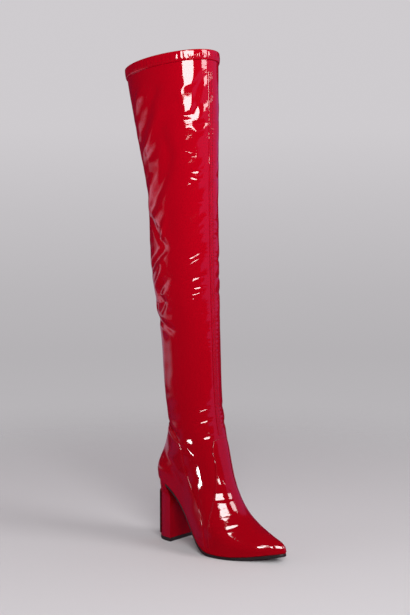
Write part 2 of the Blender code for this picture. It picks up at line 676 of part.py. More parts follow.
def main():
    for old in list(bpy.data.objects):
        bpy.data.objects.remove(old)
    red = material("red_patent", (0.40, 0.0, 0.006), 0.12)
    black = material("black_sole", (0.012, 0.012, 0.013), 0.45)
    rubber = material("black_rubber", (0.012, 0.012, 0.013), 0.6)
    plate = material("dark_metal", (0.03, 0.03, 0.032), 0.25, 1.0)
    board = material("insole_leather", (0.30, 0.20, 0.13), 0.6)
    tape = material("red_tape", (0.25, 0.0, 0.01), 0.7)
    metal = material("red_lacquered_metal", (0.30, 0.01, 0.015), 0.3, 0.6)
    make_upper(red)
    make_outsole(black)
    make_insole(board)
    make_heel(red, rubber, plate)
    make_overlays(red)
    make_collar_band(red)
    make_zip(tape, metal)


main()
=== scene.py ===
"""Looks of the thigh-high boot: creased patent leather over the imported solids, its stitching, zip and light.

Sizes are in millimetres. Points are worked out as (along, across, height), as in the part's source: along
runs from the heel to the toe, across to the outer side and height up from the floor. to_world turns them
into the frame.
"""

import math

import bmesh
import bpy
import numpy as np
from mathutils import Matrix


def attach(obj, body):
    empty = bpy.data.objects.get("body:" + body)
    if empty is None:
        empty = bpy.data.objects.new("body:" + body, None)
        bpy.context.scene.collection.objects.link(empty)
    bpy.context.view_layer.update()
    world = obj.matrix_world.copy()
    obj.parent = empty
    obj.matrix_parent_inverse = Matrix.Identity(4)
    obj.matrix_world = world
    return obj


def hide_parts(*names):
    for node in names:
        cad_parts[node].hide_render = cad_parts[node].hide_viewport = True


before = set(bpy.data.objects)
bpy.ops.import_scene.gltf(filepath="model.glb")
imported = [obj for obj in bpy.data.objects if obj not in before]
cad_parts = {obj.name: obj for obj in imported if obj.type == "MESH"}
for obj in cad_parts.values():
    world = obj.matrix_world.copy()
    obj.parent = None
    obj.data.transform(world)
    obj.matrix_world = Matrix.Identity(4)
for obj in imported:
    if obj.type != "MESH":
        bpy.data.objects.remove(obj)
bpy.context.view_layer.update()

MM = 0.001
GAP = 0.3
SHARP_ANGLE = math.radians(40)

# Driving sizes
TOE_TIP = 212.0
HEEL_SEAT_BACK = -18.0
HEEL_HEIGHT = 97.0
UPPER_WALL = 1.6
OVERLAY = 0.9
HEEL_ROUND = 26.0
TOE_ROUND = 16.0
TOE_BOX_SIDE, TOE_BOX_TOP, SIDE_SWELL = 2.3, 2.2, 0.30
FOOT_COLUMN_SHIFT = 0.80
FIRST_LEG_ROW, LAST_FOOT_ROW = 3.0, 11.5
LASTING_TOE, LASTING_HEEL, LASTING_WIDTH = 13.0, 8.0, 0.74

SOLE_THICK, SOLE_WAIST_THICK, SOLE_EDGE, SOLE_CHAMFER = 4.4, 2.6, 1.4, 0.7
SOLE_THINS = (30.0, 100.0)
INSOLE_THICK, INSOLE_INSET, INSOLE_ENDS = 2.2, 2.2, (-15.0, 202.0)
INSOLE_TOE_INSET, INSOLE_TOE_FROM = 6.0, 60.0

HEEL_BREAST, HEEL_BACK, HEEL_HALF = 14.0, -19.0, 25.0
HEEL_BREAST_TOP, HEEL_SQUARE, HEEL_FLARE_FROM = 9.5, 2.6, 0.74
TOP_PIECE = 5.5
PLATE_LOW, PLATE_HIGH, PLATE_THICK, PLATE_FROM = 9.0, 76.0, 1.4, 0.72

BAND_HIGH, BAND_THICK = 14.0, 1.2
FRONT_SEAM_HALF, FRONT_SEAM_THICK, FRONT_SEAM_ROWS = 5.0, 0.7, (12.35, 23.6)

ZIP_ROWS = (4.0, 15.9)
ZIP_TAPE_PAST, ZIP_TEETH_SHORT = (0.3, 0.2), (0.1, 0.05)
ZIP_SLIT_HALF, ZIP_TAPE_THICK = 2.2, 0.8

# The sole's edge, where the upper meets it
SOLE_COLUMNS = ("along", "height", "outer", "inner", "middle")
SOLE_ROWS = (
    (HEEL_SEAT_BACK, HEEL_HEIGHT, 26.0, 26.0, 0.0),
    (-7.0, 96.0, 28.0, 28.0, 0.0),
    (5.0, 92.8, 29.5, 29.0, 0.0),
    (20.0, 85.0, 30.0, 28.5, 0.0),
    (35.0, 72.0, 29.5, 26.5, 0.0),
    (50.0, 55.0, 30.0, 25.5, 0.0),
    (65.0, 36.0, 33.0, 26.5, 0.0),
    (80.0, 19.5, 37.0, 29.5, 0.0),
    (95.0, 8.5, 40.5, 33.0, 0.0),
    (110.0, 4.6, 41.5, 35.5, -0.5),
    (125.0, 4.0, 40.5, 36.0, -1.5),
    (140.0, 4.2, 37.5, 35.0, -3.0),
    (155.0, 5.2, 32.0, 31.5, -5.0),
    (170.0, 7.0, 25.5, 25.5, -7.0),
    (185.0, 9.5, 18.0, 18.0, -9.0),
    (199.0, 12.0, 10.5, 10.5, -11.0),
    (TOE_TIP, 14.5, 5.0, 5.0, -12.5),
)

# Sections of the upper, from the sole's edge to the collar, with the leg's half-widths
SECTION_COLUMNS = ("front_along", "front_height", "back_along", "back_height", "outer", "inner")
SECTION_ROWS = (
    (TOE_TIP, 14.5, HEEL_SEAT_BACK, HEEL_HEIGHT, 30.0, 30.0),
    (210.6, 21.5, -19.8, 101.0, 30.0, 30.0),
    (205.0, 27.3, -21.0, 105.5, 31.0, 31.0),
    (194.0, 32.0, -21.5, 110.5, 32.0, 32.0),
    (179.0, 37.3, -21.3, 115.5, 33.0, 33.0),
    (163.0, 44.5, -20.2, 121.0, 33.0, 33.0),
    (148.5, 54.0, -18.5, 127.0, 33.5, 33.0),
    (136.0, 66.5, -16.3, 133.5, 34.0, 33.0),
    (126.0, 82.0, -13.6, 140.5, 34.0, 33.5),
    (118.0, 100.0, -10.5, 148.0, 35.0, 34.0),
    (111.5, 120.0, -7.0, 156.5, 36.0, 35.0),
    (105.5, 142.0, -3.0, 166.5, 37.0, 36.0),
    (99.0, 166.0, 0.5, 179.0, 38.0, 37.0),
    (93.0, 192.0, 0.0, 196.0, 38.2, 37.5),
    (88.5, 225.0, -5.5, 226.0, 38.7, 38.0),
    (85.8, 265.0, -9.6, 265.0, 39.5, 39.0),
    (83.8, 310.0, -12.8, 308.0, 40.3, 40.0),
    (81.7, 360.0, -20.0, 356.0, 42.3, 42.0),
    (79.5, 410.0, -30.3, 405.0, 45.5, 45.5),
    (78.3, 460.0, -35.5, 453.0, 46.8, 46.8),
    (77.3, 510.0, -37.0, 500.0, 46.8, 46.8),
    (77.0, 560.0, -43.0, 548.0, 48.3, 48.3),
    (76.6, 610.0, -54.4, 596.0, 51.9, 51.9),
    (75.7, 668.0, -68.0, 650.0, 55.7, 55.7),
    (74.2, 743.0, -83.5, 718.0, 59.8, 59.8),
)
COLLAR_ROW = len(SECTION_ROWS) - 1

# The zip's line on the inner side: section row and place along
ZIP_LINE = ((0, 37.0), (4, 38.5), (8, 40.0), (10, 44.0), (12, 48.0), (14, 47.5), (16, 45.0), (24, 0.0))

# The vamp's seam, seen from the side: place along and height. The vamp lies in front of it
VAMP_SEAM = (
    (116.0, -5.0), (112.0, 10.0), (109.0, 45.0), (107.5, 88.0), (104.0, 117.0),
    (100.0, 139.0), (95.5, 158.0), (95.0, 165.0), (97.5, 169.0), (102.0, 170.5),
)

# The counter's seam: place along and height on the outer side, then on the inner. The counter lies behind it
COUNTER_SEAM = (
    (108.0, -5.0, 33.0, 55.0),
    (103.0, 25.0, 33.0, 80.0),
    (91.0, 63.0, 32.5, 95.0),
    (77.0, 83.0, 32.5, 108.0),
    (62.0, 107.0, 33.0, 122.0),
    (54.0, 129.0, 33.0, 134.0),
    (50.0, 153.0, 31.0, 146.0),
    (43.0, 164.5, 26.0, 155.0),
    (28.0, 177.0, 16.0, 166.0),
    (0.0, 186.0, -4.0, 183.0),
    (-30.0, 190.0, -30.0, 190.0),
)
OVERLAY_LOW_ROW = 0.2

# Places along the sole that set the upper's columns
STATIONS = (
    TOE_TIP, 210.5, 207.0, 201.0, 193.0, 183.0, 170.0, 156.0, 142.0, 128.0, 115.0, 103.0, 94.0, 86.0, 78.0,
    69.0, 59.0, 48.0, 37.0, 24.0, HEEL_BREAST_TOP, 1.0, -6.0, -11.5, -15.5, -17.4, HEEL_SEAT_BACK,
)
ZIP_STATION = 37.0


def spline(places, values):
    """A natural cubic curve through the points, as a function of place."""
    x = np.asarray(places, float)
    y = np.asarray(values, float)
    count = len(x)
    step = np.diff(x)
    matrix = np.eye(count)
    right = np.zeros(count)
    for i in range(1, count - 1):
        matrix[i, i - 1:i + 2] = step[i - 1], 2 * (step[i - 1] + step[i]), step[i]
        right[i] = 6 * ((y[i + 1] - y[i]) / step[i] - (y[i] - y[i - 1]) / step[i - 1])
    bend = np.linalg.solve(matrix, right)

    def value(place):
        place = np.clip(np.asarray(place, float), x[0], x[-1])
        i = np.clip(np.searchsorted(x, place) - 1, 0, count - 2)
        width = x[i + 1] - x[i]
        a = (x[i + 1] - place) / width
        b = 1 - a
        curved = (a**3 - a) * bend[i] + (b**3 - b) * bend[i + 1]
        return a * y[i] + b * y[i + 1] + curved * width**2 / 6

    return value


def columns_of(names, rows, places=None):
    """One curve for each named column of a table, over the given places or the row number."""
    table = np.array(rows, float)
    places = np.arange(len(rows)) if places is None else places
    return {name: spline(places, table[:, i]) for i, name in enumerate(names)}


def line_of(points):
    table = np.array(points, float)
    return spline(table[:, 0], table[:, 1])


SOLE = columns_of(SOLE_COLUMNS, SOLE_ROWS, [row[0] for row in SOLE_ROWS])
SECTION = columns_of(SECTION_COLUMNS, SECTION_ROWS)
RIDGE_IN_LEG = ((-60.0, 700.0), (0.0, 460.0), (40.0, 280.0))
RIDGE_TOP_ROW, RIDGE_JOIN_ROWS = 11, 4


def ridge_line():
    """The vamp's ridge as a height over the place along, carried on steeply inside the leg."""
    rows = np.linspace(RIDGE_TOP_ROW, 0, 500)
    along = SECTION["front_along"](rows)
    height = SECTION["front_height"](rows)
    joined = SECTION_ROWS[RIDGE_TOP_ROW:RIDGE_TOP_ROW - RIDGE_JOIN_ROWS:-1]
    inside = line_of(RIDGE_IN_LEG + tuple((row[0], row[1]) for row in joined))
    start = np.linspace(RIDGE_IN_LEG[0][0], along[0], 200, endpoint=False)
    places = np.concatenate([start, along])
    heights = np.concatenate([inside(start), height])
    return lambda place: np.interp(place, places, heights)


RIDGE = ridge_line()


def eased(value, low, high):
    """0 below low, 1 above high and a smooth rise between."""
    t = np.clip((value - low) / (high - low), 0, 1)
    return t**3 * (t * (6 * t - 15) + 10)


def end_round(distance, size):
    """How much of its width an outline has at this distance from its end."""
    t = np.clip(distance / size, 0, 1)
    return np.sqrt(np.maximum(1 - (1 - t) ** 3, 0))


def sole_half(along, side):
    width = np.where(side > 0, SOLE["outer"](along), SOLE["inner"](along))
    return width * end_round(along - HEEL_SEAT_BACK, HEEL_ROUND) * end_round(TOE_TIP - along, TOE_ROUND)


def column_shift(row):
    return FOOT_COLUMN_SHIFT * (1 - eased(row, FIRST_LEG_ROW, LAST_FOOT_ROW))


def upper_point(row, angle):
    """The upper's outer surface. Row runs up the sections, angle from the front round the outer side."""
    row, angle = np.broadcast_arrays(np.asarray(row, float), np.asarray(angle, float))
    s = {name: curve(row) for name, curve in SECTION.items()}
    leg = eased(row, FIRST_LEG_ROW, LAST_FOOT_ROW)
    side = np.where(np.sin(angle) >= 0, 1.0, -1.0)
    turn = (1 - np.cos(angle)) / 2
    share = turn + column_shift(row) * turn * (1 - turn)
    front = s["front_along"]
    along = front + (s["back_along"] - front) * share

    base = SOLE["height"](along)
    front_rise = s["front_height"] - SOLE["height"](front)
    back_rise = s["back_height"] - SOLE["height"](s["back_along"])
    on_foot = base + front_rise + (back_rise - front_rise) * share
    on_leg = s["front_height"] + (s["back_height"] - s["front_height"]) * share
    height = on_foot + (on_leg - on_foot) * leg

    level = np.clip((height - base) / np.maximum(RIDGE(along) - base, 1e-6), 0, 1)
    box = (1 - level**TOE_BOX_TOP) ** (1 / TOE_BOX_SIDE) * (1 + SIDE_SWELL * level * (1 - level))
    seat_along = along + (HEEL_SEAT_BACK - s["back_along"]) * share**3
    foot_half = sole_half(seat_along, side) * box
    oval = np.sqrt(np.maximum(4 * share * (1 - share), 0))
    leg_half = np.where(side > 0, s["outer"], s["inner"]) * oval
    across = side * (foot_half + (leg_half - foot_half) * leg) + SOLE["middle"](along) * (1 - leg)
    return np.stack([along, across, height], -1)


def upper_normal(row, angle):
    """Unit vectors out of the upper's surface."""
    step_row, step_angle = 0.02, 0.01
    low = np.clip(row - step_row, 0, COLLAR_ROW)
    high = np.clip(row + step_row, 0, COLLAR_ROW)
    up = upper_point(high, angle) - upper_point(low, angle)
    forward = upper_point(row, angle + step_angle) - upper_point(row, angle - step_angle)
    normal = np.cross(forward, up)
    return normal / np.linalg.norm(normal, axis=-1, keepdims=True)


def angle_speed(row, angle):
    """Millimetres round the upper for each radian of angle."""
    step = 0.01
    moved = upper_point(row, angle + step) - upper_point(row, angle - step)
    return np.linalg.norm(moved, axis=-1) / (2 * step)


def angle_at(row, along):
    """The angle from the front at which a section crosses a place along, on either side."""
    front = SECTION["front_along"](row)
    share = np.clip((front - along) / (front - SECTION["back_along"](row)), 0, 1)
    shift = np.maximum(column_shift(row), 1e-6)
    turn = ((1 + shift) - np.sqrt((1 + shift) ** 2 - 4 * shift * share)) / (2 * shift)
    return np.arccos(np.clip(1 - 2 * turn, -1, 1))


def zip_angle(row):
    return 2 * math.pi - angle_at(row, line_of(ZIP_LINE)(row))


def to_world(points):
    points = np.asarray(points, float)
    return np.stack([-points[..., 1], -points[..., 0], points[..., 2]], -1) * MM


def upper_angles(rows):
    """The upper's columns. On the inner side they follow the zip, with one cell as wide as its slit."""
    base = angle_at(0.0, np.array(STATIONS))
    zip_base = float(angle_at(0.0, ZIP_STATION))
    zip_at = zip_angle(rows)
    slit = ZIP_SLIT_HALF / angle_speed(rows, zip_at)
    from_back = math.pi - base[base > zip_base + 1e-6][::-1]
    inner_back = math.pi + from_back / (math.pi - zip_base) * (zip_at - slit - math.pi)
    from_front = base[(base < zip_base - 1e-6) & (base > 0)][::-1]
    inner_front = 2 * math.pi - from_front / zip_base * (2 * math.pi - zip_at - slit)
    outer = base[:-1] + 0 * rows
    return np.concatenate([outer, inner_back, zip_at - slit, zip_at + slit, inner_front], axis=1)


def zip_column():
    return len(STATIONS) - 1 + sum(place < ZIP_STATION for place in STATIONS)


# How finely the visible surfaces follow the forms: fine points for each point of the inner grid, and the
# upper's rings, which lie closer together round some heights, given with their reach
FINE, OVERLAY_FINE = 3, 3
UPPER_RINGS, RINGS_CLOSER = 178, 1.2
CLOSE_RINGS = ((640.0, 22.0), (565.0, 30.0), (405.0, 45.0), (195.0, 28.0))
OVERLAY_RINGS, OVERLAY_CELLS, SEAM_RINGS, SEAM_CELLS, BAND_FINE = 75, 56, 161, 14, 7
SEARCH_ROWS, SEARCH_ANGLES = 800, 1441

OUTER, INNER = 1.0, -1.0

# Soft folds of the leather: side, rise (troughs are negative), half-width and path as (along, height)
FOLDS = (
    (OUTER, 3.2, 9.0, ((14, 735), (-8, 700), (-38, 648))),
    (OUTER, -3.0, 9.0, ((22, 700), (2, 660), (-26, 612))),
    (OUTER, 3.4, 9.0, ((26, 664), (8, 628), (-20, 590))),
    (OUTER, -3.4, 10.0, ((22, 634), (34, 596), (30, 566), (10, 530), (-12, 500))),
    (OUTER, 3.0, 8.0, ((2, 566), (-10, 530), (-20, 500))),
    (OUTER, -3.2, 6.5, ((-18, 502), (2, 486), (18, 466), (30, 452))),
    (OUTER, 2.4, 6.0, ((30, 506), (22, 482), (16, 464))),
    (OUTER, -3.2, 6.5, ((30, 454), (8, 436), (-24, 412))),
    (OUTER, 2.6, 6.0, ((14, 436), (17, 419), (-8, 391))),
    (OUTER, -3.2, 6.5, ((36, 410), (10, 384), (19, 372), (2, 350))),
    (OUTER, 2.4, 6.0, ((-2, 376), (-10, 358), (-16, 344))),
    (OUTER, -2.6, 6.0, ((-14, 346), (14, 340), (42, 328))),
    (OUTER, -1.5, 9.0, ((19, 330), (22, 286), (20, 238))),
    (OUTER, -0.80, 2.0, ((63, 439), (68, 443), (74, 450))),
    (OUTER, -0.90, 2.1, ((60, 430), (66, 434), (73, 442))),
    (OUTER, -0.70, 2.0, ((58, 423), (64, 426), (71, 433))),
    (OUTER, -0.85, 2.8, ((56, 404), (65, 408), (77, 415))),
    (OUTER, -0.40, 1.6, ((66, 395), (71, 396), (78, 398))),
    (OUTER, -0.42, 1.6, ((66, 386), (70, 387), (76, 391))),
    (OUTER, -0.48, 1.7, ((58, 378), (65, 380), (71, 383))),
    (OUTER, -0.36, 1.6, ((67, 357), (72, 358), (79, 359))),
    (OUTER, -0.34, 1.6, ((71, 309), (76, 310), (82, 309))),
    (OUTER, -0.46, 2.0, ((73, 212), (81, 214), (88, 218))),
    (OUTER, -0.50, 2.2, ((72, 194), (83, 197), (93, 201))),
    (OUTER, -0.46, 2.2, ((72, 170), (86, 173), (99, 177))),
    (OUTER, -2.6, 6.0, ((2, 190), (20, 182), (34, 174), (48, 165))),
    (OUTER, 1.4, 7.0, ((50, 160), (64, 152), (80, 138))),
    (OUTER, 2.5, 12.0, ((90, 88), (99, 66), (114, 46), (136, 30), (165, 19), (192, 15), (212, 14))),
    (OUTER, -2.0, 10.0, ((92, 96), (106, 91), (122, 90), (140, 95))),
    (OUTER, -0.90, 3.6, ((104, 82), (116, 83), (128, 84))),
    (OUTER, -0.40, 1.9, ((98, 82), (108, 77), (122, 75))),
    (OUTER, -0.45, 2.0, ((100, 66), (112, 68), (126, 74))),
    (OUTER, -0.35, 1.7, ((112, 62), (120, 60), (134, 62))),
    (OUTER, -0.40, 1.9, ((106, 54), (118, 53), (130, 55))),
    (OUTER, -0.70, 2.6, ((126, 42), (138, 44), (152, 50))),
    (OUTER, -1.5, 7.0, ((72, 730), (71, 700), (69, 672), (68, 640))),
    (OUTER, 0.8, 6.0, ((50, 690), (55, 668), (59, 645))),
    (OUTER, -1.5, 5.0, ((67, 638), (71, 634), (76, 640))),
    (OUTER, -0.26, 1.5, ((52, 650), (59, 648), (64, 649))),
    (OUTER, -0.22, 1.5, ((57, 642), (60, 641), (66, 643))),
    (OUTER, -0.26, 1.5, ((53, 631), (58, 632), (62, 634))),
    (OUTER, -0.28, 1.5, ((58, 598), (62, 595), (65, 596))),
    (OUTER, -0.20, 1.5, ((60, 569), (66, 566), (74, 568))),
    (OUTER, -0.24, 1.5, ((64, 559), (69, 556), (73, 557))),
    (OUTER, -0.26, 1.5, ((54, 550), (60, 549), (65, 551))),
    (OUTER, -0.20, 1.5, ((67, 523), (71, 522), (76, 524))),
    (INNER, -2.2, 9.0, ((0, 700), (-16, 676), (-36, 640))),
    (INNER, -2.4, 9.0, ((18, 630), (26, 590), (8, 540), (-10, 512))),
    (INNER, -2.6, 7.0, ((-18, 496), (4, 478), (24, 458))),
    (INNER, 1.7, 7.0, ((24, 498), (16, 470), (22, 454))),
    (INNER, -2.8, 7.5, ((28, 448), (6, 430), (-22, 410))),
    (INNER, -2.6, 7.0, ((32, 402), (12, 380), (2, 350))),
    (INNER, -2.0, 6.5, ((-10, 342), (12, 336), (30, 328))),
    (INNER, -1.5, 4.5, ((58, 430), (68, 436), (77, 444))),
    (INNER, -1.5, 4.5, ((58, 404), (68, 409), (78, 412))),
    (INNER, -1.3, 4.5, ((60, 380), (69, 386), (79, 390))),
    (INNER, -1.2, 5.0, ((70, 210), (80, 214), (88, 216))),
    (INNER, -1.4, 5.0, ((66, 182), (80, 188), (92, 192))),
    (INNER, -2.6, 6.0, ((0, 188), (16, 178), (30, 166))),
)

# Slow waves of the leather: length of one wave along, across and up, height and phase
WAVES = (
    (61.0, 47.0, 83.0, 0.22, 0.4),
    (-38.0, 52.0, 44.0, 0.16, 2.1),
    (45.0, -33.0, -29.0, 0.13, 4.0),
    (27.0, 36.0, -58.0, 0.10, 1.2),
    (-70.0, 29.0, 21.0, 0.08, 5.1),
)

# The waves: small on the foot, calm round one height of the leg, and none where sole and collar hold
WAVES_ON_FOOT, WAVES_ON_LEG, WAVES_GROW = 0.15, 0.6, (60.0, 260.0)
CALM_HEIGHT, CALM_REACH, CALM_SHARE = 285.0, 50.0, 0.8
FREE_FROM_ROWS, FREE_TO_ROWS = (0.2, 2.5), (23.2, 23.75)

# A fold: steps between its points, reach and shoulders by its width, and the fade at its ends
FOLD_STEPS, FOLD_REACH, FOLD_SHOULDER = 6, 3, 0.4
FOLD_FADE_IN, FOLD_FADE_OUT = (-0.12, 0.3), (0.7, 1.12)

# Where fine cross wrinkles show: centre height, reach and strength, and the part of the foot that flexes
WRINKLE_BANDS = (
    (70.0, 26.0, 0.8), (195.0, 38.0, 0.35), (400.0, 55.0, 0.35), (595.0, 12.0, 0.5), (636.0, 18.0, 0.6),
)
FLEX_FROM, FLEX_TO, LEG_FROM = (86.0, 112.0), (140.0, 165.0), (110.0, 150.0)

# Ripples beside the front seam: height, length, distance, reach, and how they swell and drift up the leg
PUCKER_HIGH, PUCKER_LONG, PUCKER_AWAY, PUCKER_REACH = 0.22, 6.6, 7.5, 4.0
PUCKER_SWELL, PUCKER_DRIFT, PUCKER_DRIFT_LONG, PUCKER_OUTER = 23.0, 1.3, 31.0, 0.3

# Panels: rounded edges, how far they sink into the upper, and the rows among which their tops lie
EDGE_ROUND, EDGE_SUNK, UNDER_SUNK, SHELF_TUCK = 1.3, 0.2, 0.6, 0.1
VAMP_TOPS, COUNTER_TOPS, TOP_CLEAR = (11.5, 13.0, 600), (11.0, 13.0, 800), 0.002
MIDDLE_GROOVE, STITCH_GROOVE, GROOVE_HALF = 0.4, 0.35, 0.5

# The collar band: ripples as height, length and phase, then places up its face with their share of them
BAND_PUCKERS = ((0.22, 1.05, 0.0), (0.16, 2.3, 1.0), (0.12, 5.1, 2.0))
BAND_FACE = ((1.6, 0.5), (2.6, 0.2), (3.4, 0.2), (5, 1.0), (7, 1.0), (9, 0.8), (11, 0.5))
BAND_SWELL, BAND_FOLD, BAND_SHARP_ANGLE = 0.35, 1.6, math.radians(70)

STITCH_PITCH, STITCH_LONG, STITCH_WIDE, STITCH_INSET, STITCH_LOW_ROW = 3.6, 2.6, 0.75, 1.9, 0.6
SEAM_STITCH_HALF, SEAM_STITCH_FROM, BAND_STITCH_LOW, PATH_STEP = 2.3, 0.05, 11.0, 0.6

SOLE_TOE_CURVE, SOLE_BEVEL, INSOLE_CROWN = 3.0, 0.3, 0.9
HEEL_SHARES = np.sin(np.linspace(0, math.pi / 2, 25))

ZIP_LIP_HIGH, ZIP_LIP_REACH, ZIP_LIP_START, ZIP_LIP_END = 1.1, 4.5, (0.6, 0.4), (0.1, 0.3)
ZIP_PANEL_FRONT, ZIP_PANEL_BACK, ZIP_PANEL_ENDS = 12.0, 6.0, (0.2, 0.35)
TOOTH_PITCH, TOOTH_LONG, TOOTH_WIDE, TOOTH_TALL = 1.5, 2.0, 0.8, 1.3
TOOTH_SUNK, TOOTH_STAGGER = 0.5, 0.55

# The leather's red with painted shade, from the darker foot up to the brighter thigh, the heights between, and
# the grain of its wrinkles
FOOT_SHADE_RED, THIGH_LIT_RED, PAINTED_SHADE_HEIGHTS = (0.27, 0.0, 0.003), (0.515, 0.0, 0.008), (0.03, 0.62)
WRINKLE_SCALE = (70.0, 70.0, 190.0)


def add_piece(name, points, faces, looks, indexes=None, body="boot", sharp=SHARP_ANGLE):
    """A mesh in place, with its faces pointing out, that rides on a body."""
    mesh = bpy.data.meshes.new(name)
    mesh.from_pydata(to_world(points), [], faces)
    for look in looks:
        mesh.materials.append(look)
    if indexes is not None:
        mesh.polygons.foreach_set("material_index", indexes)
    shape = bmesh.new()
    shape.from_mesh(mesh)
    bmesh.ops.recalc_face_normals(shape, faces=shape.faces)
    shape.to_mesh(mesh)
    shape.free()
    mesh.shade_smooth()
    mesh.set_sharp_from_angle(angle=sharp)
    piece = bpy.data.objects.new(name, mesh)
    bpy.context.scene.collection.objects.link(piece)
    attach(piece, body)
    return piece


def rounded(piece, width, segments=3):
    step = piece.modifiers.new("rounded_edges", "BEVEL")
    step.width = width * MM
    step.segments = segments
    step.limit_method = "ANGLE"
    step.angle_limit = SHARP_ANGLE
    return piece


def set_values(piece, name, values):
    """A value for each point of a piece, which its material reads."""
    made = piece.data.attributes.new(name, "FLOAT", "POINT")
    made.data.foreach_set("value", np.asarray(values, float).ravel())


def shell(name, outer, inner, looks, step, keep=None, wraps=False, wrinkled=False):
    """A wall between a fine outer grid and an inner grid of every step-th point, closed along its edges."""
    rows, columns = inner.shape[:2]
    fine_rows, fine_columns = outer.shape[:2]
    cells = columns if wraps else columns - 1
    keep = np.ones((rows - 1, cells), bool) if keep is None else keep
    r, c = np.nonzero(np.repeat(np.repeat(keep, step, axis=0), step, axis=1))
    d = (c + 1) % fine_columns
    low, high = r * fine_columns, (r + 1) * fine_columns
    front = np.stack([low + c, low + d, high + d, high + c], -1)
    start = fine_rows * fine_columns
    r, c = np.nonzero(keep)
    d = (c + 1) % columns
    low, high = start + r * columns, start + (r + 1) * columns
    back = np.stack([low + c, high + c, high + d, low + d], -1)

    def rim(r0, c0, r1, c1):
        share = np.arange(step, -1, -1) / step
        fine_r = np.rint((r0 + (r1 - r0) * share) * step).astype(int)
        fine_c = np.rint((c0 + (c1 - c0) * share) * step).astype(int) % fine_columns
        ends = [start + r0 * columns + c0 % columns, start + r1 * columns + c1 % columns]
        return ends + (fine_r * fine_columns + fine_c).tolist()

    rims = []
    for r, c in zip(*np.nonzero(keep)):
        if r == 0 or not keep[r - 1, c]:
            rims.append(rim(r, c, r, c + 1))
        if r == rows - 2 or not keep[r + 1, c]:
            rims.append(rim(r + 1, c, r + 1, c + 1))
        if (c == 0 and not wraps) or not keep[r, c - 1]:
            rims.append(rim(r, c, r + 1, c))
        if (c == cells - 1 and not wraps) or not keep[r, (c + 1) % cells]:
            rims.append(rim(r, c + 1, r + 1, c + 1))
    indexes = [0] * len(front) + [1] * len(back) + [0] * len(rims)
    points = np.concatenate([outer.reshape(-1, 3), inner.reshape(-1, 3)])
    used = np.unique(np.concatenate([front.ravel(), back.ravel()]))
    place = np.full(len(points), -1)
    place[used] = np.arange(len(used))
    faces = [[int(place[i]) for i in face] for face in front.tolist() + back.tolist() + rims]
    piece = add_piece(name, points[used], faces, looks, indexes if len(looks) > 1 else None)
    if wrinkled:
        set_values(piece, "wrinkled", wrinkle_share(points[used]))
    return piece


def loft(name, loops, look, wraps=False, sharp=SHARP_ANGLE):
    """A solid through loops of equally many points. Its ends are closed by joining the loop's two sides."""
    loops = np.asarray(loops, float)
    count, size = loops.shape[:2]
    faces = []
    for r in range(count if wraps else count - 1):
        low, high = r * size, (r + 1) % count * size
        faces += [[low + c, low + (c + 1) % size, high + (c + 1) % size, high + c] for c in range(size)]
    if not wraps:
        for start in (0, (count - 1) * size):
            for c in range(size // 2):
                ends = [start + c, start + c + 1, start + size - 2 - c, start + size - 1 - c]
                kept = list(dict.fromkeys(ends))
                if len(kept) > 2:
                    faces.append(kept)
    return add_piece(name, loops.reshape(-1, 3), faces, [look], sharp=sharp)


def finer(values, step, wraps=False):
    """Each gap along the last axis in equal steps. Angles that go round gain the gap back to the first."""
    if wraps:
        values = np.concatenate([values, values[..., :1] + 2 * math.pi], axis=-1)
    count = values.shape[-1] - 1
    place = np.arange(count * step + (0 if wraps else 1)) / step
    low = np.minimum(place.astype(int), count - 1)
    share = place - low
    return values[..., low] * (1 - share) + values[..., low + 1] * share


def side_angle(side, angle):
    return angle if side > 0 else 2 * math.pi - angle


def side_point(side, along, height):
    """The place on one side of the upper at a place along and a height."""
    rows = np.linspace(0, COLLAR_ROW, SEARCH_ROWS)
    heights = upper_point(rows, side_angle(side, angle_at(rows, along)))[:, 2]
    row = float(np.interp(height, heights, rows))
    return upper_point(row, side_angle(side, angle_at(row, along)))


def fold_path(side, path):
    """A fold's path on the surface, in short straight steps."""
    path = np.array(path, float)
    place = np.arange(len(path))
    fine = np.linspace(0, len(path) - 1, FOLD_STEPS * (len(path) - 1) + 1)
    along = spline(place, path[:, 0])(fine)
    height = spline(place, path[:, 1])(fine)
    return np.array([side_point(side, a, h) for a, h in zip(along, height)])


def fold_rise(points, line, depth, width):
    """How far a fold moves each point out: a soft trough or ridge with low shoulders, fading at its ends."""
    reach = FOLD_REACH * width
    near = np.all((points > line.min(0) - reach) & (points < line.max(0) + reach), axis=-1)
    rise = np.zeros(len(points))
    chosen = points[near]
    away = np.full(len(chosen), np.inf)
    share = np.zeros(len(chosen))
    count = len(line) - 1
    for i in range(count):
        step = line[i + 1] - line[i]
        t = np.clip((chosen - line[i]) @ step / (step @ step), 0, 1)
        gap = np.linalg.norm(chosen - line[i] - t[:, None] * step, axis=-1)
        closer = gap < away
        away[closer] = gap[closer]
        share[closer] = ((i + t) / count)[closer]
    fade = eased(share, *FOLD_FADE_IN) * (1 - eased(share, *FOLD_FADE_OUT))
    shoulders = FOLD_SHOULDER * np.exp(-(away / (2 * width)) ** 2)
    rise[near] = depth * fade * (np.exp(-(away / width) ** 2) - shoulders)
    return rise


FOLD_LINES = [(fold_path(side, path), depth, width) for side, depth, width, path in FOLDS]


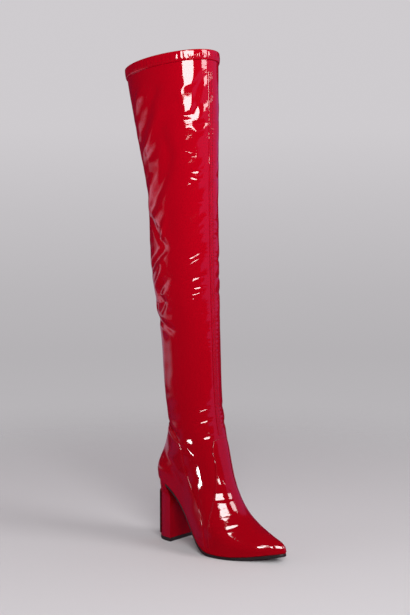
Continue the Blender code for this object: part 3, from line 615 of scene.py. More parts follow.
def creases(points, row):
    """How far the worn leather stands off its smooth form at each point."""
    flat = points.reshape(-1, 3)
    rise = np.zeros(len(flat))
    for line, depth, width in FOLD_LINES:
        rise += fold_rise(flat, line, depth, width)
    height = flat[:, 2]
    calm = 1 - CALM_SHARE * np.exp(-((height - CALM_HEIGHT) / CALM_REACH) ** 2)
    strength = (WAVES_ON_FOOT + WAVES_ON_LEG * eased(height, *WAVES_GROW)) * calm
    for along, across, up, high, phase in WAVES:
        turn = 2 * math.pi * (flat[:, 0] / along + flat[:, 1] / across + height / up) + phase
        rise += high * np.sin(turn) * strength
    row = np.ravel(row)
    free = eased(row, *FREE_FROM_ROWS) * (1 - eased(row, *FREE_TO_ROWS))
    return (rise * free).reshape(points.shape[:-1])


def zip_lips(row, angle):
    """The leather stands up in a soft lip along both sides of the zip."""
    low, high = ZIP_ROWS
    away = (angle - zip_angle(row)) * angle_speed(row, angle)
    begun = eased(row, low - ZIP_LIP_START[0], low + ZIP_LIP_START[1])
    ended = eased(row, high - ZIP_LIP_END[0], high + ZIP_LIP_END[1])
    return ZIP_LIP_HIGH * begun * (1 - ended) * np.exp(-(away / ZIP_LIP_REACH) ** 2)


def seam_puckers(points, row, angle):
    """Small ripples beside the front seam, where its thread draws the leather in."""
    low = FRONT_SEAM_ROWS[0]
    turned = (angle + math.pi) % (2 * math.pi) - math.pi
    away = abs(turned) * angle_speed(row, angle)
    beside = np.exp(-((away - PUCKER_AWAY) / PUCKER_REACH) ** 2) * eased(row, low, low + 1)
    height = points[..., 2]
    uneven = (0.5 + 0.5 * np.sin(height / PUCKER_SWELL)) * np.where(turned < 0, 1.0, PUCKER_OUTER)
    drift = PUCKER_DRIFT * np.sin(height / PUCKER_DRIFT_LONG)
    return PUCKER_HIGH * beside * uneven * np.sin(2 * math.pi * height / PUCKER_LONG + drift)


def leather(row, angle, lift=0.0):
    """The creased surface of the upper, lifted off it."""
    row, angle = np.broadcast_arrays(np.asarray(row, float), np.asarray(angle, float))
    base = upper_point(row, angle)
    out = creases(base, row) + zip_lips(row, angle) + seam_puckers(base, row, angle) + lift
    return base + upper_normal(row, angle) * out[..., None]


def wrinkle_share(points):
    """How much the fine wrinkles show at each point."""
    along, height = points[..., 0], points[..., 2]
    share = np.zeros(height.shape)
    for centre, reach, strength in WRINKLE_BANDS:
        share = np.maximum(share, strength * np.exp(-((height - centre) / reach) ** 2))
    flexed = eased(along, *FLEX_FROM) * (1 - eased(along, *FLEX_TO))
    return share * np.maximum(eased(height, *LEG_FROM), flexed)


def sum_of(operation, turned_round=False):
    """A method that joins a wire and another value by a math node."""
    def joined(wire, other):
        first, second = (other, wire) if turned_round else (wire, other)
        return add_node(wire.tree, "ShaderNodeMath", {"operation": operation}, {0: first, 1: second})

    return joined


class Wire:
    """One output of a shader node, which takes part in sums."""

    def __init__(self, tree, socket):
        self.tree = tree
        self.socket = socket

    __add__, __radd__ = sum_of("ADD"), sum_of("ADD", True)
    __sub__, __rsub__ = sum_of("SUBTRACT"), sum_of("SUBTRACT", True)
    __mul__, __rmul__ = sum_of("MULTIPLY"), sum_of("MULTIPLY", True)
    __pow__ = sum_of("POWER")


def add_node(tree, kind, settings, sockets, output=0):
    """A node with its settings made, its sockets given values or wires, and one of its outputs as a wire."""
    node = tree.nodes.new(kind)
    for name, value in settings.items():
        setattr(node, name, value)
    for key, value in sockets.items():
        if isinstance(value, Wire):
            tree.links.new(value.socket, node.inputs[key])
        else:
            node.inputs[key].default_value = value
    return Wire(tree, node.outputs[output])


def new_material(name, **sockets):
    """A material whose shader's own sockets have these values."""
    made = bpy.data.materials.new(name)
    made.use_nodes = True
    shader = made.node_tree.nodes["Principled BSDF"]
    for key, value in sockets.items():
        shader.inputs[key.replace("_", " ")].default_value = value
    return made, made.node_tree, shader


def feed(tree, shader, **wires):
    for key, wire in wires.items():
        tree.links.new(wire.socket, shader.inputs[key.replace("_", " ")])


def object_place(tree, scale=(1.0, 1.0, 1.0)):
    place = add_node(tree, "ShaderNodeTexCoord", {}, {}, "Object")
    return add_node(tree, "ShaderNodeMapping", {}, {"Vector": place, "Scale": scale})


def noise(tree, place, scale, detail=2.0, roughness=0.5):
    return add_node(tree, "ShaderNodeTexNoise", {}, {"Vector": place, "Scale": scale, "Detail": detail,
                                                     "Roughness": roughness}, "Fac")


def bump(tree, height, distance, strength=1.0):
    sockets = {"Height": height, "Distance": distance, "Strength": strength}
    return add_node(tree, "ShaderNodeBump", {}, sockets)


def colour_between(tree, share, first, second):
    """A colour blended from a first one, given or worked out, to a second."""
    first = first if isinstance(first, Wire) else (*first, 1)
    return add_node(tree, "ShaderNodeMix", {"data_type": "RGBA"}, {0: share, 6: first, 7: (*second, 1)}, 2)


def eased_wire(tree, value, start, end):
    """Rises softly from 0 to 1 as the value goes from start to end."""
    return add_node(tree, "ShaderNodeMapRange", {"interpolation_type": "SMOOTHSTEP"}, {
        "Value": value, "From Min": start, "From Max": end})


def facing(tree, place, side):
    """How far a direction turns to one side, 1 where it points there."""
    return add_node(tree, "ShaderNodeVectorMath", {"operation": "DOT_PRODUCT"}, {0: place, 1: side}, "Value")


def add_ramp(tree, value, stops):
    """Greys blended between stops."""
    made = add_node(tree, "ShaderNodeValToRGB", {}, {"Fac": value})
    ramp = made.socket.node.color_ramp
    while len(ramp.elements) < len(stops):
        ramp.elements.new(0.5)
    for element, (place, tone) in zip(ramp.elements, stops):
        element.position = place
        element.color = (tone, tone * 0.965, tone, 1)
    return made


def patent_leather(name, wrinkled):
    """Glossy red leather with painted shade that deepens it on the foot, with a faint peel and, if wanted,
    fine cross wrinkles.
    """
    look, tree, shader = new_material(name, Roughness=0.05, Specular_IOR_Level=0.7, Coat_Weight=0.8,
                                      Coat_Roughness=0.02)
    place = object_place(tree)
    level = add_node(tree, "ShaderNodeSeparateXYZ", {}, {"Vector": place}, "Z")
    # Painted shade: the red darkens from the thigh down to the foot, mixed with a little random tone
    shade = 0.75 * eased_wire(tree, level, *PAINTED_SHADE_HEIGHTS) + 0.25 * noise(tree, place, 9.0, 3.0)
    feed(tree, shader, Base_Color=colour_between(tree, shade, FOOT_SHADE_RED, THIGH_LIT_RED))
    height = noise(tree, place, 420.0, 1.0) * 0.12
    if wrinkled:
        wave = noise(tree, object_place(tree, WRINKLE_SCALE), 1.0)
        wide = add_node(tree, "ShaderNodeMath", {"operation": "ABSOLUTE"}, {0: 2.0 * wave - 1.0})
        share = add_node(tree, "ShaderNodeAttribute", {"attribute_name": "wrinkled"}, {}, "Fac")
        height = height - (1.0 - wide) ** 3.0 * share * 0.5
    feed(tree, shader, Normal=bump(tree, height, 0.0004, 0.6))
    return look


def sole_leather(name, colour, roughness, grain):
    look, tree, shader = new_material(name, Specular_IOR_Level=0.4)
    place = object_place(tree)
    wear = noise(tree, place, 60.0, 4.0, 0.6)
    worn = tuple(part * 1.9 + 0.006 for part in colour)
    feed(tree, shader, Base_Color=colour_between(tree, wear, colour, worn), Roughness=roughness + wear * 0.2)
    feed(tree, shader, Normal=bump(tree, noise(tree, place, grain, 3.0), 0.0003, 0.5))
    return look


def woven(name, colour, pitch):
    """A fine plain weave, from two sets of crossing ribs."""
    look, tree, shader = new_material(name, Roughness=0.85, Specular_IOR_Level=0.2)
    place = object_place(tree)
    turn = 2 * math.pi / (pitch * MM)
    ribs = []
    for axis in "ZY":
        level = add_node(tree, "ShaderNodeSeparateXYZ", {}, {"Vector": place}, axis)
        ribs.append(add_node(tree, "ShaderNodeMath", {"operation": "SINE"}, {0: level * turn}))
    weave = ribs[0] * ribs[1] * 0.5 + 0.5
    fleck = noise(tree, place, 300.0, 2.0)
    dark = tuple(part * 0.6 for part in colour)
    feed(tree, shader, Base_Color=colour_between(tree, weave * 0.6 + fleck * 0.4, dark, colour))
    feed(tree, shader, Normal=bump(tree, weave, 0.0002, 0.6))
    return look


def lacquered_metal(name, colour, metallic, roughness):
    look, tree, shader = new_material(name, Metallic=metallic, Coat_Weight=0.3, Coat_Roughness=0.1)
    place = object_place(tree)
    wear = noise(tree, place, 260.0, 3.0)
    worn = tuple(min(part * 1.5 + 0.02, 1.0) for part in colour)
    painted = colour_between(tree, wear, colour, worn)
    grain = bump(tree, noise(tree, place, 300.0, 1.0), 0.00004, 0.4)
    feed(tree, shader, Base_Color=painted, Roughness=roughness + wear * 0.08, Normal=grain)
    return look


def repeated(name, places, runs, outs, size, look, block=False):
    """One small shape at each place, its length along run and its top along out, as a single plain mesh."""
    mesh = bpy.data.meshes.new(name)
    mesh.from_pydata(to_world(places), [], [])
    for key, vectors in (("run", runs), ("out", outs)):
        made = mesh.attributes.new(key, "FLOAT_VECTOR", "POINT")
        made.data.foreach_set("vector", (to_world(vectors) / MM).ravel())
    holder = bpy.data.objects.new(name + "_places", mesh)
    bpy.context.scene.collection.objects.link(holder)

    tree = bpy.data.node_groups.new(name + "_tree", "GeometryNodeTree")
    tree.interface.new_socket("Places", in_out="INPUT", socket_type="NodeSocketGeometry")
    size_socket = tree.interface.new_socket("Size", in_out="INPUT", socket_type="NodeSocketVector")
    look_socket = tree.interface.new_socket("Finish", in_out="INPUT", socket_type="NodeSocketMaterial")
    tree.interface.new_socket("Pieces", in_out="OUTPUT", socket_type="NodeSocketGeometry")
    given = tree.nodes.new("NodeGroupInput")
    result = tree.nodes.new("NodeGroupOutput")
    run = add_node(tree, "GeometryNodeInputNamedAttribute", {"data_type": "FLOAT_VECTOR"}, {"Name": "run"})
    out = add_node(tree, "GeometryNodeInputNamedAttribute", {"data_type": "FLOAT_VECTOR"}, {"Name": "out"})
    aimed = add_node(tree, "FunctionNodeAlignRotationToVector", {"axis": "X"}, {"Vector": run})
    turned = add_node(tree, "FunctionNodeAlignRotationToVector", {"axis": "Z", "pivot_axis": "X"},
                      {"Rotation": aimed, "Vector": out})
    if block:
        form = add_node(tree, "GeometryNodeMeshCube", {}, {"Size": (1.0, 1.0, 1.0)})
    else:
        form = add_node(tree, "GeometryNodeMeshUVSphere", {}, {"Segments": 6, "Rings": 4, "Radius": 0.5})
    spread = add_node(tree, "GeometryNodeInstanceOnPoints", {}, {
        "Points": Wire(tree, given.outputs["Places"]), "Instance": form, "Rotation": turned,
        "Scale": Wire(tree, given.outputs["Size"])})
    solid = add_node(tree, "GeometryNodeRealizeInstances", {}, {"Geometry": spread})
    painted = add_node(tree, "GeometryNodeSetMaterial", {}, {
        "Geometry": solid, "Material": Wire(tree, given.outputs["Finish"])})
    tree.links.new(painted.socket, result.inputs["Pieces"])

    step = holder.modifiers.new("repeat", "NODES")
    step.node_group = tree
    step[size_socket.identifier] = tuple(part * MM for part in size)
    step[look_socket.identifier] = look
    evaluated = holder.evaluated_get(bpy.context.evaluated_depsgraph_get())
    plain = bpy.data.meshes.new_from_object(evaluated)
    plain.name = name
    bpy.data.objects.remove(holder)
    plain.shade_smooth()
    piece = bpy.data.objects.new(name, plain)
    bpy.context.scene.collection.objects.link(piece)
    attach(piece, "boot")
    return piece


def evenly(path, pitch):
    """Places at an even pitch along a path, the path's direction there and their place in its points."""
    steps = np.linalg.norm(np.diff(path, axis=0), axis=-1)
    run = np.concatenate([[0], np.cumsum(steps)])
    places = np.arange(pitch / 2, run[-1], pitch)

    def on_path(move):
        moved = np.clip(places + move, 0, run[-1])
        return np.stack([np.interp(moved, run, path[:, i]) for i in range(3)], -1)

    along = on_path(PATH_STEP) - on_path(-PATH_STEP)
    share = np.interp(places, run, np.arange(len(path)))
    return on_path(0.0), along / np.linalg.norm(along, axis=-1, keepdims=True), share


class Stitching:
    """Collects the places of all stitches, so that they become one mesh."""

    def __init__(self):
        self.rows = []

    def add(self, row, angle, lift):
        """A row of stitches along a path on the upper."""
        row = np.asarray(row, float)
        angle = np.asarray(angle, float)
        path = leather(row, angle, lift)
        places, runs, share = evenly(path, STITCH_PITCH)
        count = np.arange(len(row))
        out = upper_normal(np.interp(share, count, row), np.interp(share, count, angle))
        self.rows.append((places, runs, out))

    def make(self, look):
        places, runs, outs = (np.concatenate(part) for part in zip(*self.rows))
        return repeated("stitching", places, runs, outs, (STITCH_LONG, STITCH_WIDE, STITCH_WIDE), look)


def ring_rows(count):
    """Section rows spaced evenly up the upper, with the zip's two ends among them."""
    rows = np.linspace(0, COLLAR_ROW, 1200)
    angles = np.linspace(0, 2 * math.pi, 24, endpoint=False)
    steps = np.linalg.norm(np.diff(upper_point(rows[:, None], angles[None]), axis=0), axis=-1).mean(axis=1)
    middle = upper_point((rows[:-1] + rows[1:]) / 2, 0 * rows[:-1])[:, 2]
    for height, reach in CLOSE_RINGS:
        steps = steps * (1 + RINGS_CLOSER * np.exp(-((middle - height) / reach) ** 2))
    length = np.concatenate([[0], np.cumsum(steps)])
    even = np.interp(np.linspace(0, length[-1], count), length, rows)
    for end in ZIP_ROWS:
        even[np.argmin(abs(even - end))] = end
    return even


def make_upper(looks):
    rings = ring_rows(UPPER_RINGS)
    rows = finer(rings, FINE)[:, None]
    angles = finer(upper_angles(rows), FINE, wraps=True)
    wall = leather(rows, angles)
    inside = leather(rings[:, None], upper_angles(rings[:, None]), -UPPER_WALL)

    # The lasting margin turns in under the foot, so the wall's lowest ring runs on as a narrow shelf
    edge = wall[0]
    shelf_along = np.clip(edge[:, 0], HEEL_SEAT_BACK + LASTING_HEEL, TOE_TIP - LASTING_TOE)
    shelf_across = SOLE["middle"](shelf_along) + (edge[:, 1] - SOLE["middle"](edge[:, 0])) * LASTING_WIDTH
    shelf = np.stack([shelf_along, shelf_across, SOLE["height"](shelf_along)], -1)
    margin = [shelf + (edge - shelf) * i / FINE for i in range(FINE)]
    upward = np.array([0.0, 0.0, UPPER_WALL])
    inside[0] = edge[::FINE] + (shelf - edge)[::FINE] * SHELF_TUCK + upward
    outside = np.concatenate([np.array(margin), wall])
    inside = np.concatenate([(shelf[::FINE] + upward)[None], inside])

    keep = np.ones((len(inside) - 1, inside.shape[1]), bool)
    slit_rows = (rings[:-1] >= ZIP_ROWS[0] - 1e-9) & (rings[1:] <= ZIP_ROWS[1] + 1e-9)
    keep[1:, zip_column()] = ~slit_rows
    upper = shell("upper_leather", outside, inside, looks, FINE, keep, wraps=True, wrinkled=True)
    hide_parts("upper")


def seam_angle(row, side, seam, from_back):
    """The angle from the front at which a section crosses a seam, given as the place along over height."""
    angles = np.linspace(0, math.pi, SEARCH_ANGLES)
    points = upper_point(row, side_angle(side, angles))
    ahead = points[:, 0] - seam(points[:, 2])
    if from_back:
        if ahead[-1] > 0:
            return math.pi
        i = int(np.max(np.nonzero(ahead > 0)[0], initial=-1)) + 1
    else:
        if ahead[0] <= 0:
            return 0.0
        i = int(np.min(np.nonzero(ahead <= 0)[0], initial=len(angles) - 1))
    i = max(i, 1)
    share = np.clip(ahead[i - 1] / (ahead[i - 1] - ahead[i]), 0, 1)
    return angles[i - 1] + (angles[i] - angles[i - 1]) * share


def edge_lift(edge, thick):
    """How far a panel's top stands off the upper, rounded off to just under it at its free edges."""
    return -EDGE_SUNK + (GAP + thick + EDGE_SUNK) * np.sqrt(1 - (1 - edge) ** 2)


def overlay(name, rows, start, end, looks):
    """A panel of the upper's own form between two angles for each row, with its free edges rounded off."""
    share = (1 - np.cos(np.linspace(0, math.pi, OVERLAY_CELLS + 1))) / 2
    share = 0.5 * share + 0.5 * np.linspace(0, 1, OVERLAY_CELLS + 1)
    fine_rows, fine_start, fine_end = (finer(values, OVERLAY_FINE) for values in (rows, start, end))
    angles = fine_start[:, None] + (fine_end - fine_start)[:, None] * finer(share, OVERLAY_FINE)
    base = upper_point(fine_rows[:, None], angles)
    across = np.linalg.norm(np.diff(base, axis=1), axis=-1)
    from_start = np.concatenate([np.zeros((len(base), 1)), np.cumsum(across, axis=1)], axis=1)
    from_side = np.minimum(from_start, from_start[:, -1:] - from_start)
    up = np.linalg.norm(np.diff(base, axis=0), axis=-1)[::-1]
    from_top = np.concatenate([np.zeros((1, base.shape[1])), np.cumsum(up, axis=0)])[::-1]
    edge = np.clip(np.minimum(from_side, from_top) / EDGE_ROUND, 0, 1)
    top = leather(fine_rows[:, None], angles, edge_lift(edge, OVERLAY))
    under = leather(rows[:, None], angles[::OVERLAY_FINE, ::OVERLAY_FINE], -UNDER_SUNK)
    piece = shell(name, top, under, looks, OVERLAY_FINE, wrinkled=True)
    return piece


def rising_rows(low, top, count):
    """Rows from low to top that lie closer together near the top."""
    return low + (top - low) * np.sin(np.linspace(0, math.pi / 2, count))


def sew_edges(stitching, rows, edges, middle):
    """Stitches along each side edge of a panel, given as its angles and the turn into the panel."""
    for angle, turn in edges:
        reach = STITCH_INSET / np.maximum(angle_speed(rows, angle), 1e-6)
        sewn = (rows >= STITCH_LOW_ROW) & (abs(angle - middle) > reach)
        stitching.add(rows[sewn], (angle + turn * reach)[sewn], GAP + OVERLAY)


def make_vamp(look, stitching):
    seam = line_of([(height, along) for along, height in VAMP_SEAM])
    tops = np.linspace(*VAMP_TOPS)
    heights = SECTION["front_height"](tops)
    inside = (SECTION["front_along"](tops) > seam(heights)) & (heights < VAMP_SEAM[-1][1])
    top = tops[np.nonzero(inside)[0].max()]
    rows = rising_rows(OVERLAY_LOW_ROW, top, OVERLAY_RINGS)
    outer = np.array([seam_angle(row, OUTER, seam, False) for row in rows])
    inner = -np.array([seam_angle(row, INNER, seam, False) for row in rows])
    piece = overlay("vamp_leather", rows, inner, outer, [look])
    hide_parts("vamp")
    sew_edges(stitching, rows, ((outer, -1), (inner, 1)), 0.0)


def make_counter(look, stitching):
    table = np.array(COUNTER_SEAM)
    outer_seam = line_of(table[:, [1, 0]])
    inner_seam = line_of(table[:, [3, 2]])
    tops = np.linspace(*COUNTER_TOPS)
    behind = SECTION["back_along"](tops) < outer_seam(SECTION["back_height"](tops))
    top = tops[np.nonzero(behind)[0].max()]
    rows = rising_rows(OVERLAY_LOW_ROW, top - TOP_CLEAR, OVERLAY_RINGS)
    outer = np.array([seam_angle(row, OUTER, outer_seam, True) for row in rows])
    inner = 2 * math.pi - np.array([seam_angle(row, INNER, inner_seam, True) for row in rows])
    piece = overlay("counter_leather", rows, outer, inner, [look])
    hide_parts("heel_counter")
    sew_edges(stitching, rows, ((outer, 1), (inner, -1)), math.pi)


def make_front_seam(look, stitching):
    """A narrow strip down the middle of the front, with a groove where its two edges are turned in."""
    low, high = FRONT_SEAM_ROWS
    rows = np.linspace(low, high, SEAM_RINGS)
    fine_rows = finer(rows, OVERLAY_FINE)[:, None]
    share = np.linspace(-1, 1, SEAM_CELLS * OVERLAY_FINE + 1)
    angles = FRONT_SEAM_HALF / angle_speed(fine_rows, 0 * fine_rows) * share
    away = abs(share) * FRONT_SEAM_HALF
    edge = np.clip((FRONT_SEAM_HALF - away) / EDGE_ROUND, 0, 1)
    groove = MIDDLE_GROOVE * np.exp(-(away / GROOVE_HALF) ** 2)
    groove += STITCH_GROOVE * np.exp(-((away - SEAM_STITCH_HALF) / GROOVE_HALF) ** 2)
    top = leather(fine_rows, angles, edge_lift(edge, FRONT_SEAM_THICK) - groove)
    under = leather(rows[:, None], angles[::OVERLAY_FINE, ::OVERLAY_FINE], -UNDER_SUNK)
    piece = shell("front_seam_strip", top, under, [look], OVERLAY_FINE, wrinkled=True)
    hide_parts("front_seam")
    sewn = np.linspace(low + SEAM_STITCH_FROM, high, 400)
    for side in (-1, 1):
        stitching.add(sewn, side * SEAM_STITCH_HALF / angle_speed(sewn, 0 * sewn), GAP + FRONT_SEAM_THICK)


def make_collar_band(look, stitching):
    """A folded band over the top edge, a little puckered by its stitching."""
    angles = finer(upper_angles(np.array([[float(COLLAR_ROW)]])), BAND_FINE, wraps=True)[0]
    top = upper_point(COLLAR_ROW, angles)
    below = upper_point(COLLAR_ROW - 0.2, angles)
    rise = (top - below) / np.linalg.norm(top - below, axis=-1, keepdims=True)
    out = upper_normal(np.full(len(angles), COLLAR_ROW), angles)
    out -= rise * np.sum(out * rise, axis=-1, keepdims=True)
    arc = np.concatenate([[0], np.cumsum(np.linalg.norm(np.diff(top, axis=0), axis=-1))])
    pucker = sum(high * np.sin(arc / length + phase) for high, length, phase in BAND_PUCKERS)

    # The profile as (up, out, share of the ripples): its lower edge, its face, the fold and its inner side
    face = GAP + BAND_THICK
    far = -UPPER_WALL - GAP - BAND_THICK
    fold_middle = (face + far) / 2
    fold_half = (face - far) / 2
    low = -BAND_HIGH
    profile = [(low + 0.2, -0.2, 0.0), (low, face - 0.7, 0.0), (low + 0.5, face - 0.15, 0.2)]
    profile += [(low + move, face + BAND_SWELL * math.sin(move / BAND_HIGH * math.pi), share)
                for move, share in BAND_FACE]
    profile += [(face + BAND_FOLD * (math.sin(turn) - 1), fold_middle + fold_half * math.cos(turn), 0.1)
                for turn in np.linspace(0.1, math.pi - 0.1, 9)]
    profile += [(-4.0, far, 0.0), (-9.0, far, 0.0), (low, far, 0.0), (low, far + BAND_THICK, 0.0)]
    loops = [[top[i] + rise[i] * up + out[i] * (off + pucker[i] * share) for up, off, share in profile]
             for i in range(len(angles))]
    piece = loft("collar_binding", loops, look, wraps=True, sharp=BAND_SHARP_ANGLE)
    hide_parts("collar_band")

    path = top - rise * BAND_STITCH_LOW + out * (face + 0.1)
    path = np.concatenate([path, path[:1]])
    places, runs, share = evenly(path, STITCH_PITCH)
    nearest = np.rint(share).astype(int) % len(out)
    stitching.rows.append((places, runs, out[nearest]))


def make_outsole(look):
    toe_turn = np.linspace(0, math.pi / 2, 9)
    places = np.concatenate([TOE_TIP - GAP - SOLE_TOE_CURVE * (1 - np.cos(toe_turn)),
                             np.linspace(TOE_TIP - 5, HEEL_BREAST_TOP + GAP, 90)])
    corner = np.linspace(0, math.pi / 2, 5)
    corner_in = SOLE_CHAMFER * (1 - np.cos(corner))
    corner_up = SOLE_CHAMFER * (1 - np.sin(corner))
    loops = []
    for along in places:
        top = float(SOLE["height"](along)) - GAP
        thick = SOLE_WAIST_THICK + (SOLE_THICK - SOLE_WAIST_THICK) * float(eased(along, *SOLE_THINS))
        low = max(top - thick, 0.0)
        middle = float(SOLE["middle"](along))
        outer = middle + float(sole_half(along, 1.0)) + SOLE_EDGE
        inner = middle - float(sole_half(along, -1.0)) - SOLE_EDGE
        half_way = (outer + inner) / 2
        side = [(outer - SOLE_BEVEL, top), (outer, top - SOLE_BEVEL)]
        side += [(outer - a, low + b) for a, b in zip(corner_in, corner_up)]
        other = [(outer + inner - across, height) for across, height in side][::-1]
        between = [(outer + half_way) / 2, half_way, (inner + half_way) / 2]
        section = side + [(across, low) for across in between] + other
        section += [(across, top) for across in between[::-1]]
        loops.append([(along, across, height) for across, height in section])
    piece = loft("sole_leather", loops, look)
    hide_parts("outsole")


def insole_half(along, side):
    """The sole's outline set in by the wall, and drawn back from the heel's and the toe's end."""
    from_heel = INSOLE_INSET * (1 - float(eased(along, HEEL_SEAT_BACK, HEEL_SEAT_BACK + 2 * HEEL_ROUND)))
    from_toe = INSOLE_TOE_INSET * float(eased(along, TOE_TIP - INSOLE_TOE_FROM, TOE_TIP))
    return float(sole_half(along - from_heel + from_toe, side)) - INSOLE_INSET


def make_insole(look):
    places = np.linspace(INSOLE_ENDS[1], INSOLE_ENDS[0], 97)
    share = np.sin(np.linspace(-math.pi / 2, math.pi / 2, 25))
    grids = []
    for rise, crown in ((UPPER_WALL + GAP + INSOLE_THICK, INSOLE_CROWN), (UPPER_WALL + GAP, 0.0)):
        grid = []
        for along in places:
            half = np.where(share > 0, insole_half(along, 1.0), insole_half(along, -1.0))
            across = float(SOLE["middle"](along)) + half * share
            height = float(SOLE["height"](along)) + rise + crown * (np.sqrt(np.maximum(1 - share**4, 0)) - 1)
            grid.append(np.stack([np.full(len(share), along), across, height], -1))
        grids.append(np.array(grid))
    top, under = grids
    under = under[::OVERLAY_FINE, ::OVERLAY_FINE]
    piece = shell("insole_sock", top, under, [look], OVERLAY_FINE)
    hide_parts("insole")


def heel_side(breast, back, half, share):
    """One side of the heel's outline, by share of its depth from the breast's corner to the back."""
    along = breast + (back - breast) * share
    across = half * np.maximum(1 - share**HEEL_SQUARE, 0) ** (1 / HEEL_SQUARE)
    return along, across


def both_sides(along, across, height):
    """An outline from one corner of the breast round the back to the other."""
    outer = np.stack([along, across, height], -1)
    return np.concatenate([outer, (outer * [1, -1, 1])[-2::-1]])


def heel_loop(level):
    """The heel's outline at a share of its height, from the straight block up to the cup under the seat."""
    along, across = heel_side(HEEL_BREAST, HEEL_BACK, HEEL_HALF, HEEL_SHARES)
    top_along = HEEL_BREAST_TOP + (HEEL_SEAT_BACK - HEEL_BREAST_TOP) * HEEL_SHARES
    cup = eased(level, HEEL_FLARE_FROM, 1.0)
    place = along + (top_along - along) * cup
    width = across + (sole_half(top_along, 1.0) - across) * cup
    base = TOP_PIECE + GAP
    height = base + (SOLE["height"](place) - GAP - base) * level
    return both_sides(place, width, height)


def make_heel(look, top_look, plate_look):
    straight = np.linspace(0, HEEL_FLARE_FROM, 10, endpoint=False)
    levels = np.concatenate([straight, np.linspace(HEEL_FLARE_FROM, 1, 24)])
    block = rounded(loft("heel_cover", [heel_loop(level) for level in levels], look), 1.0)
    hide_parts("heel_block")

    along, across = heel_side(HEEL_BREAST, HEEL_BACK, HEEL_HALF, HEEL_SHARES)
    levels = [both_sides(along, across, np.full(len(along), height)) for height in (0.0, TOP_PIECE)]
    lift = rounded(loft("top_lift", levels, top_look), 0.5, 2)
    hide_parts("heel_top_piece")

    shares = 1 - (1 - PLATE_FROM) * np.linspace(1, 0, 13) ** 2
    heights = np.linspace(PLATE_LOW, PLATE_HIGH, 9)
    sheets = []
    for grow in (GAP + PLATE_THICK, GAP):
        along, across = heel_side(HEEL_BREAST, HEEL_BACK - grow, HEEL_HALF + grow, shares)
        sheet = [both_sides(along, across, np.full(len(along), height)) for height in heights]
        sheets.append(np.array(sheet))
    plate = shell("back_plate", sheets[0], sheets[1], [plate_look], 1)
    rounded(plate, 0.35, 2)
    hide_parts("heel_back_plate")


def make_zip(tape_look, coil_highlight_look, stitching):
    low, high = ZIP_ROWS
    rows = np.linspace(low - ZIP_TAPE_PAST[0], high + ZIP_TAPE_PAST[1], 121)
    fine_rows = finer(rows, OVERLAY_FINE)[:, None]
    angles = finer(upper_angles(fine_rows)[:, zip_column() - 1:zip_column() + 3], 4)
    behind = -UPPER_WALL - GAP
    top = leather(fine_rows, angles, behind)
    under = leather(rows[:, None], angles[::OVERLAY_FINE, ::OVERLAY_FINE], behind - ZIP_TAPE_THICK)
    tape = shell("zip_ribbon", top, under, [tape_look], OVERLAY_FINE)
    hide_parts("zip_tape")

    row = np.linspace(low + ZIP_TEETH_SHORT[0], high - ZIP_TEETH_SHORT[1], 900)
    path = leather(row, zip_angle(row), -TOOTH_SUNK)
    places, runs, share = evenly(path, TOOTH_PITCH)
    seat = np.interp(share, np.arange(len(row)), row)
    out = upper_normal(seat, zip_angle(seat))
    across = np.cross(out, runs)
    turn = np.where(np.arange(len(places)) % 2 == 0, 1.0, -1.0)[:, None]
    staggered = places + across * turn * TOOTH_STAGGER
    size = (TOOTH_LONG, TOOTH_WIDE, TOOTH_TALL)
    teeth = repeated("zip_coil", staggered, across, out, size, coil_highlight_look, block=True)
    rounded(teeth, 0.18, 1)
    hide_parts("zip_teeth")

    # The panel behind the zip is sewn down along both sides of it and across its top
    row = np.linspace(low + ZIP_PANEL_ENDS[0], high + ZIP_PANEL_ENDS[1], 300)
    middle = zip_angle(row)
    speed = angle_speed(row, middle)
    for away in (ZIP_PANEL_FRONT, -ZIP_PANEL_BACK):
        stitching.add(row, middle + away / speed, 0.0)
    over_top = np.linspace(-ZIP_PANEL_BACK, ZIP_PANEL_FRONT, 40) / speed[-1]
    stitching.add(np.full(len(over_top), row[-1]), middle[-1] + over_top, 0.0)


# The floor: sides and rings of its disc, the distances between which it fades out, and its colour
FLOOR_SIDES, FLOOR_RINGS, FLOOR_FADES = 96, (0.3, 0.7, 1.2, 2.0, 3.5, 6.0), (0.25, 1.3)
PAPER = (0.70, 0.682, 0.697, 1)

# The backdrop as it is seen: how steeply one looks up, and tone
BACKDROP_TONES = (
    (-1.0, 0.60), (-0.33, 0.60), (-0.21, 0.49), (-0.13, 0.46), (-0.078, 0.49), (-0.01, 0.55), (0.057, 0.62),
    (1.0, 0.64),
)

# The room as it lights the boot: pale, but dark on the side behind the camera
DARK_SIDE, DARK_EDGE = (-0.954, -0.299, 0.0), (-0.05, 0.13)
ROOM_LIGHT, BACKDROP_LIGHT = (0.10, 0.10, 0.105), (0.42, 0.41, 0.43)

# The room as the boot mirrors it. Each patch has its side, the edge of its reach round there, and the
# heights between which it comes and goes: a magenta side, wider at knee and thigh, a glow and the floor
PALE_SIDE, PANEL_EDGE, PANEL_RISE = (0.740, -0.673, 0.0), (0.84, 0.96), (-0.20, -0.06)
KNEE_WIDER, KNEE_RISE = 0.17, (-0.055, -0.015)
THIGH_WIDER, THIGH_RISE, THIGH_FALL = 0.30, (-0.01, 0.04), (0.08, 0.12)
GLOW_SIDE, GLOW_EDGE, GLOW_RISE, GLOW_FALL = (0.0, 1.0, 0.0), (0.72, 0.96), (-0.21, -0.15), (-0.13, -0.05)
LOW_SIDE, LOW_EDGE, LOW_RISE, LOW_FALL = (-0.495, 0.869, 0.0), (0.82, 0.92), (-0.35, -0.30), (-0.25, -0.19)
MIRRORED_ROOM, MIRRORED_BACKDROP = (0.16, 0.008, 0.03), (0.30, 0.075, 0.26)
MIRRORED_FLOOR, MIRRORED_GLOW = (0.12, 0.030, 0.10), (0.44, 0.27, 0.37)

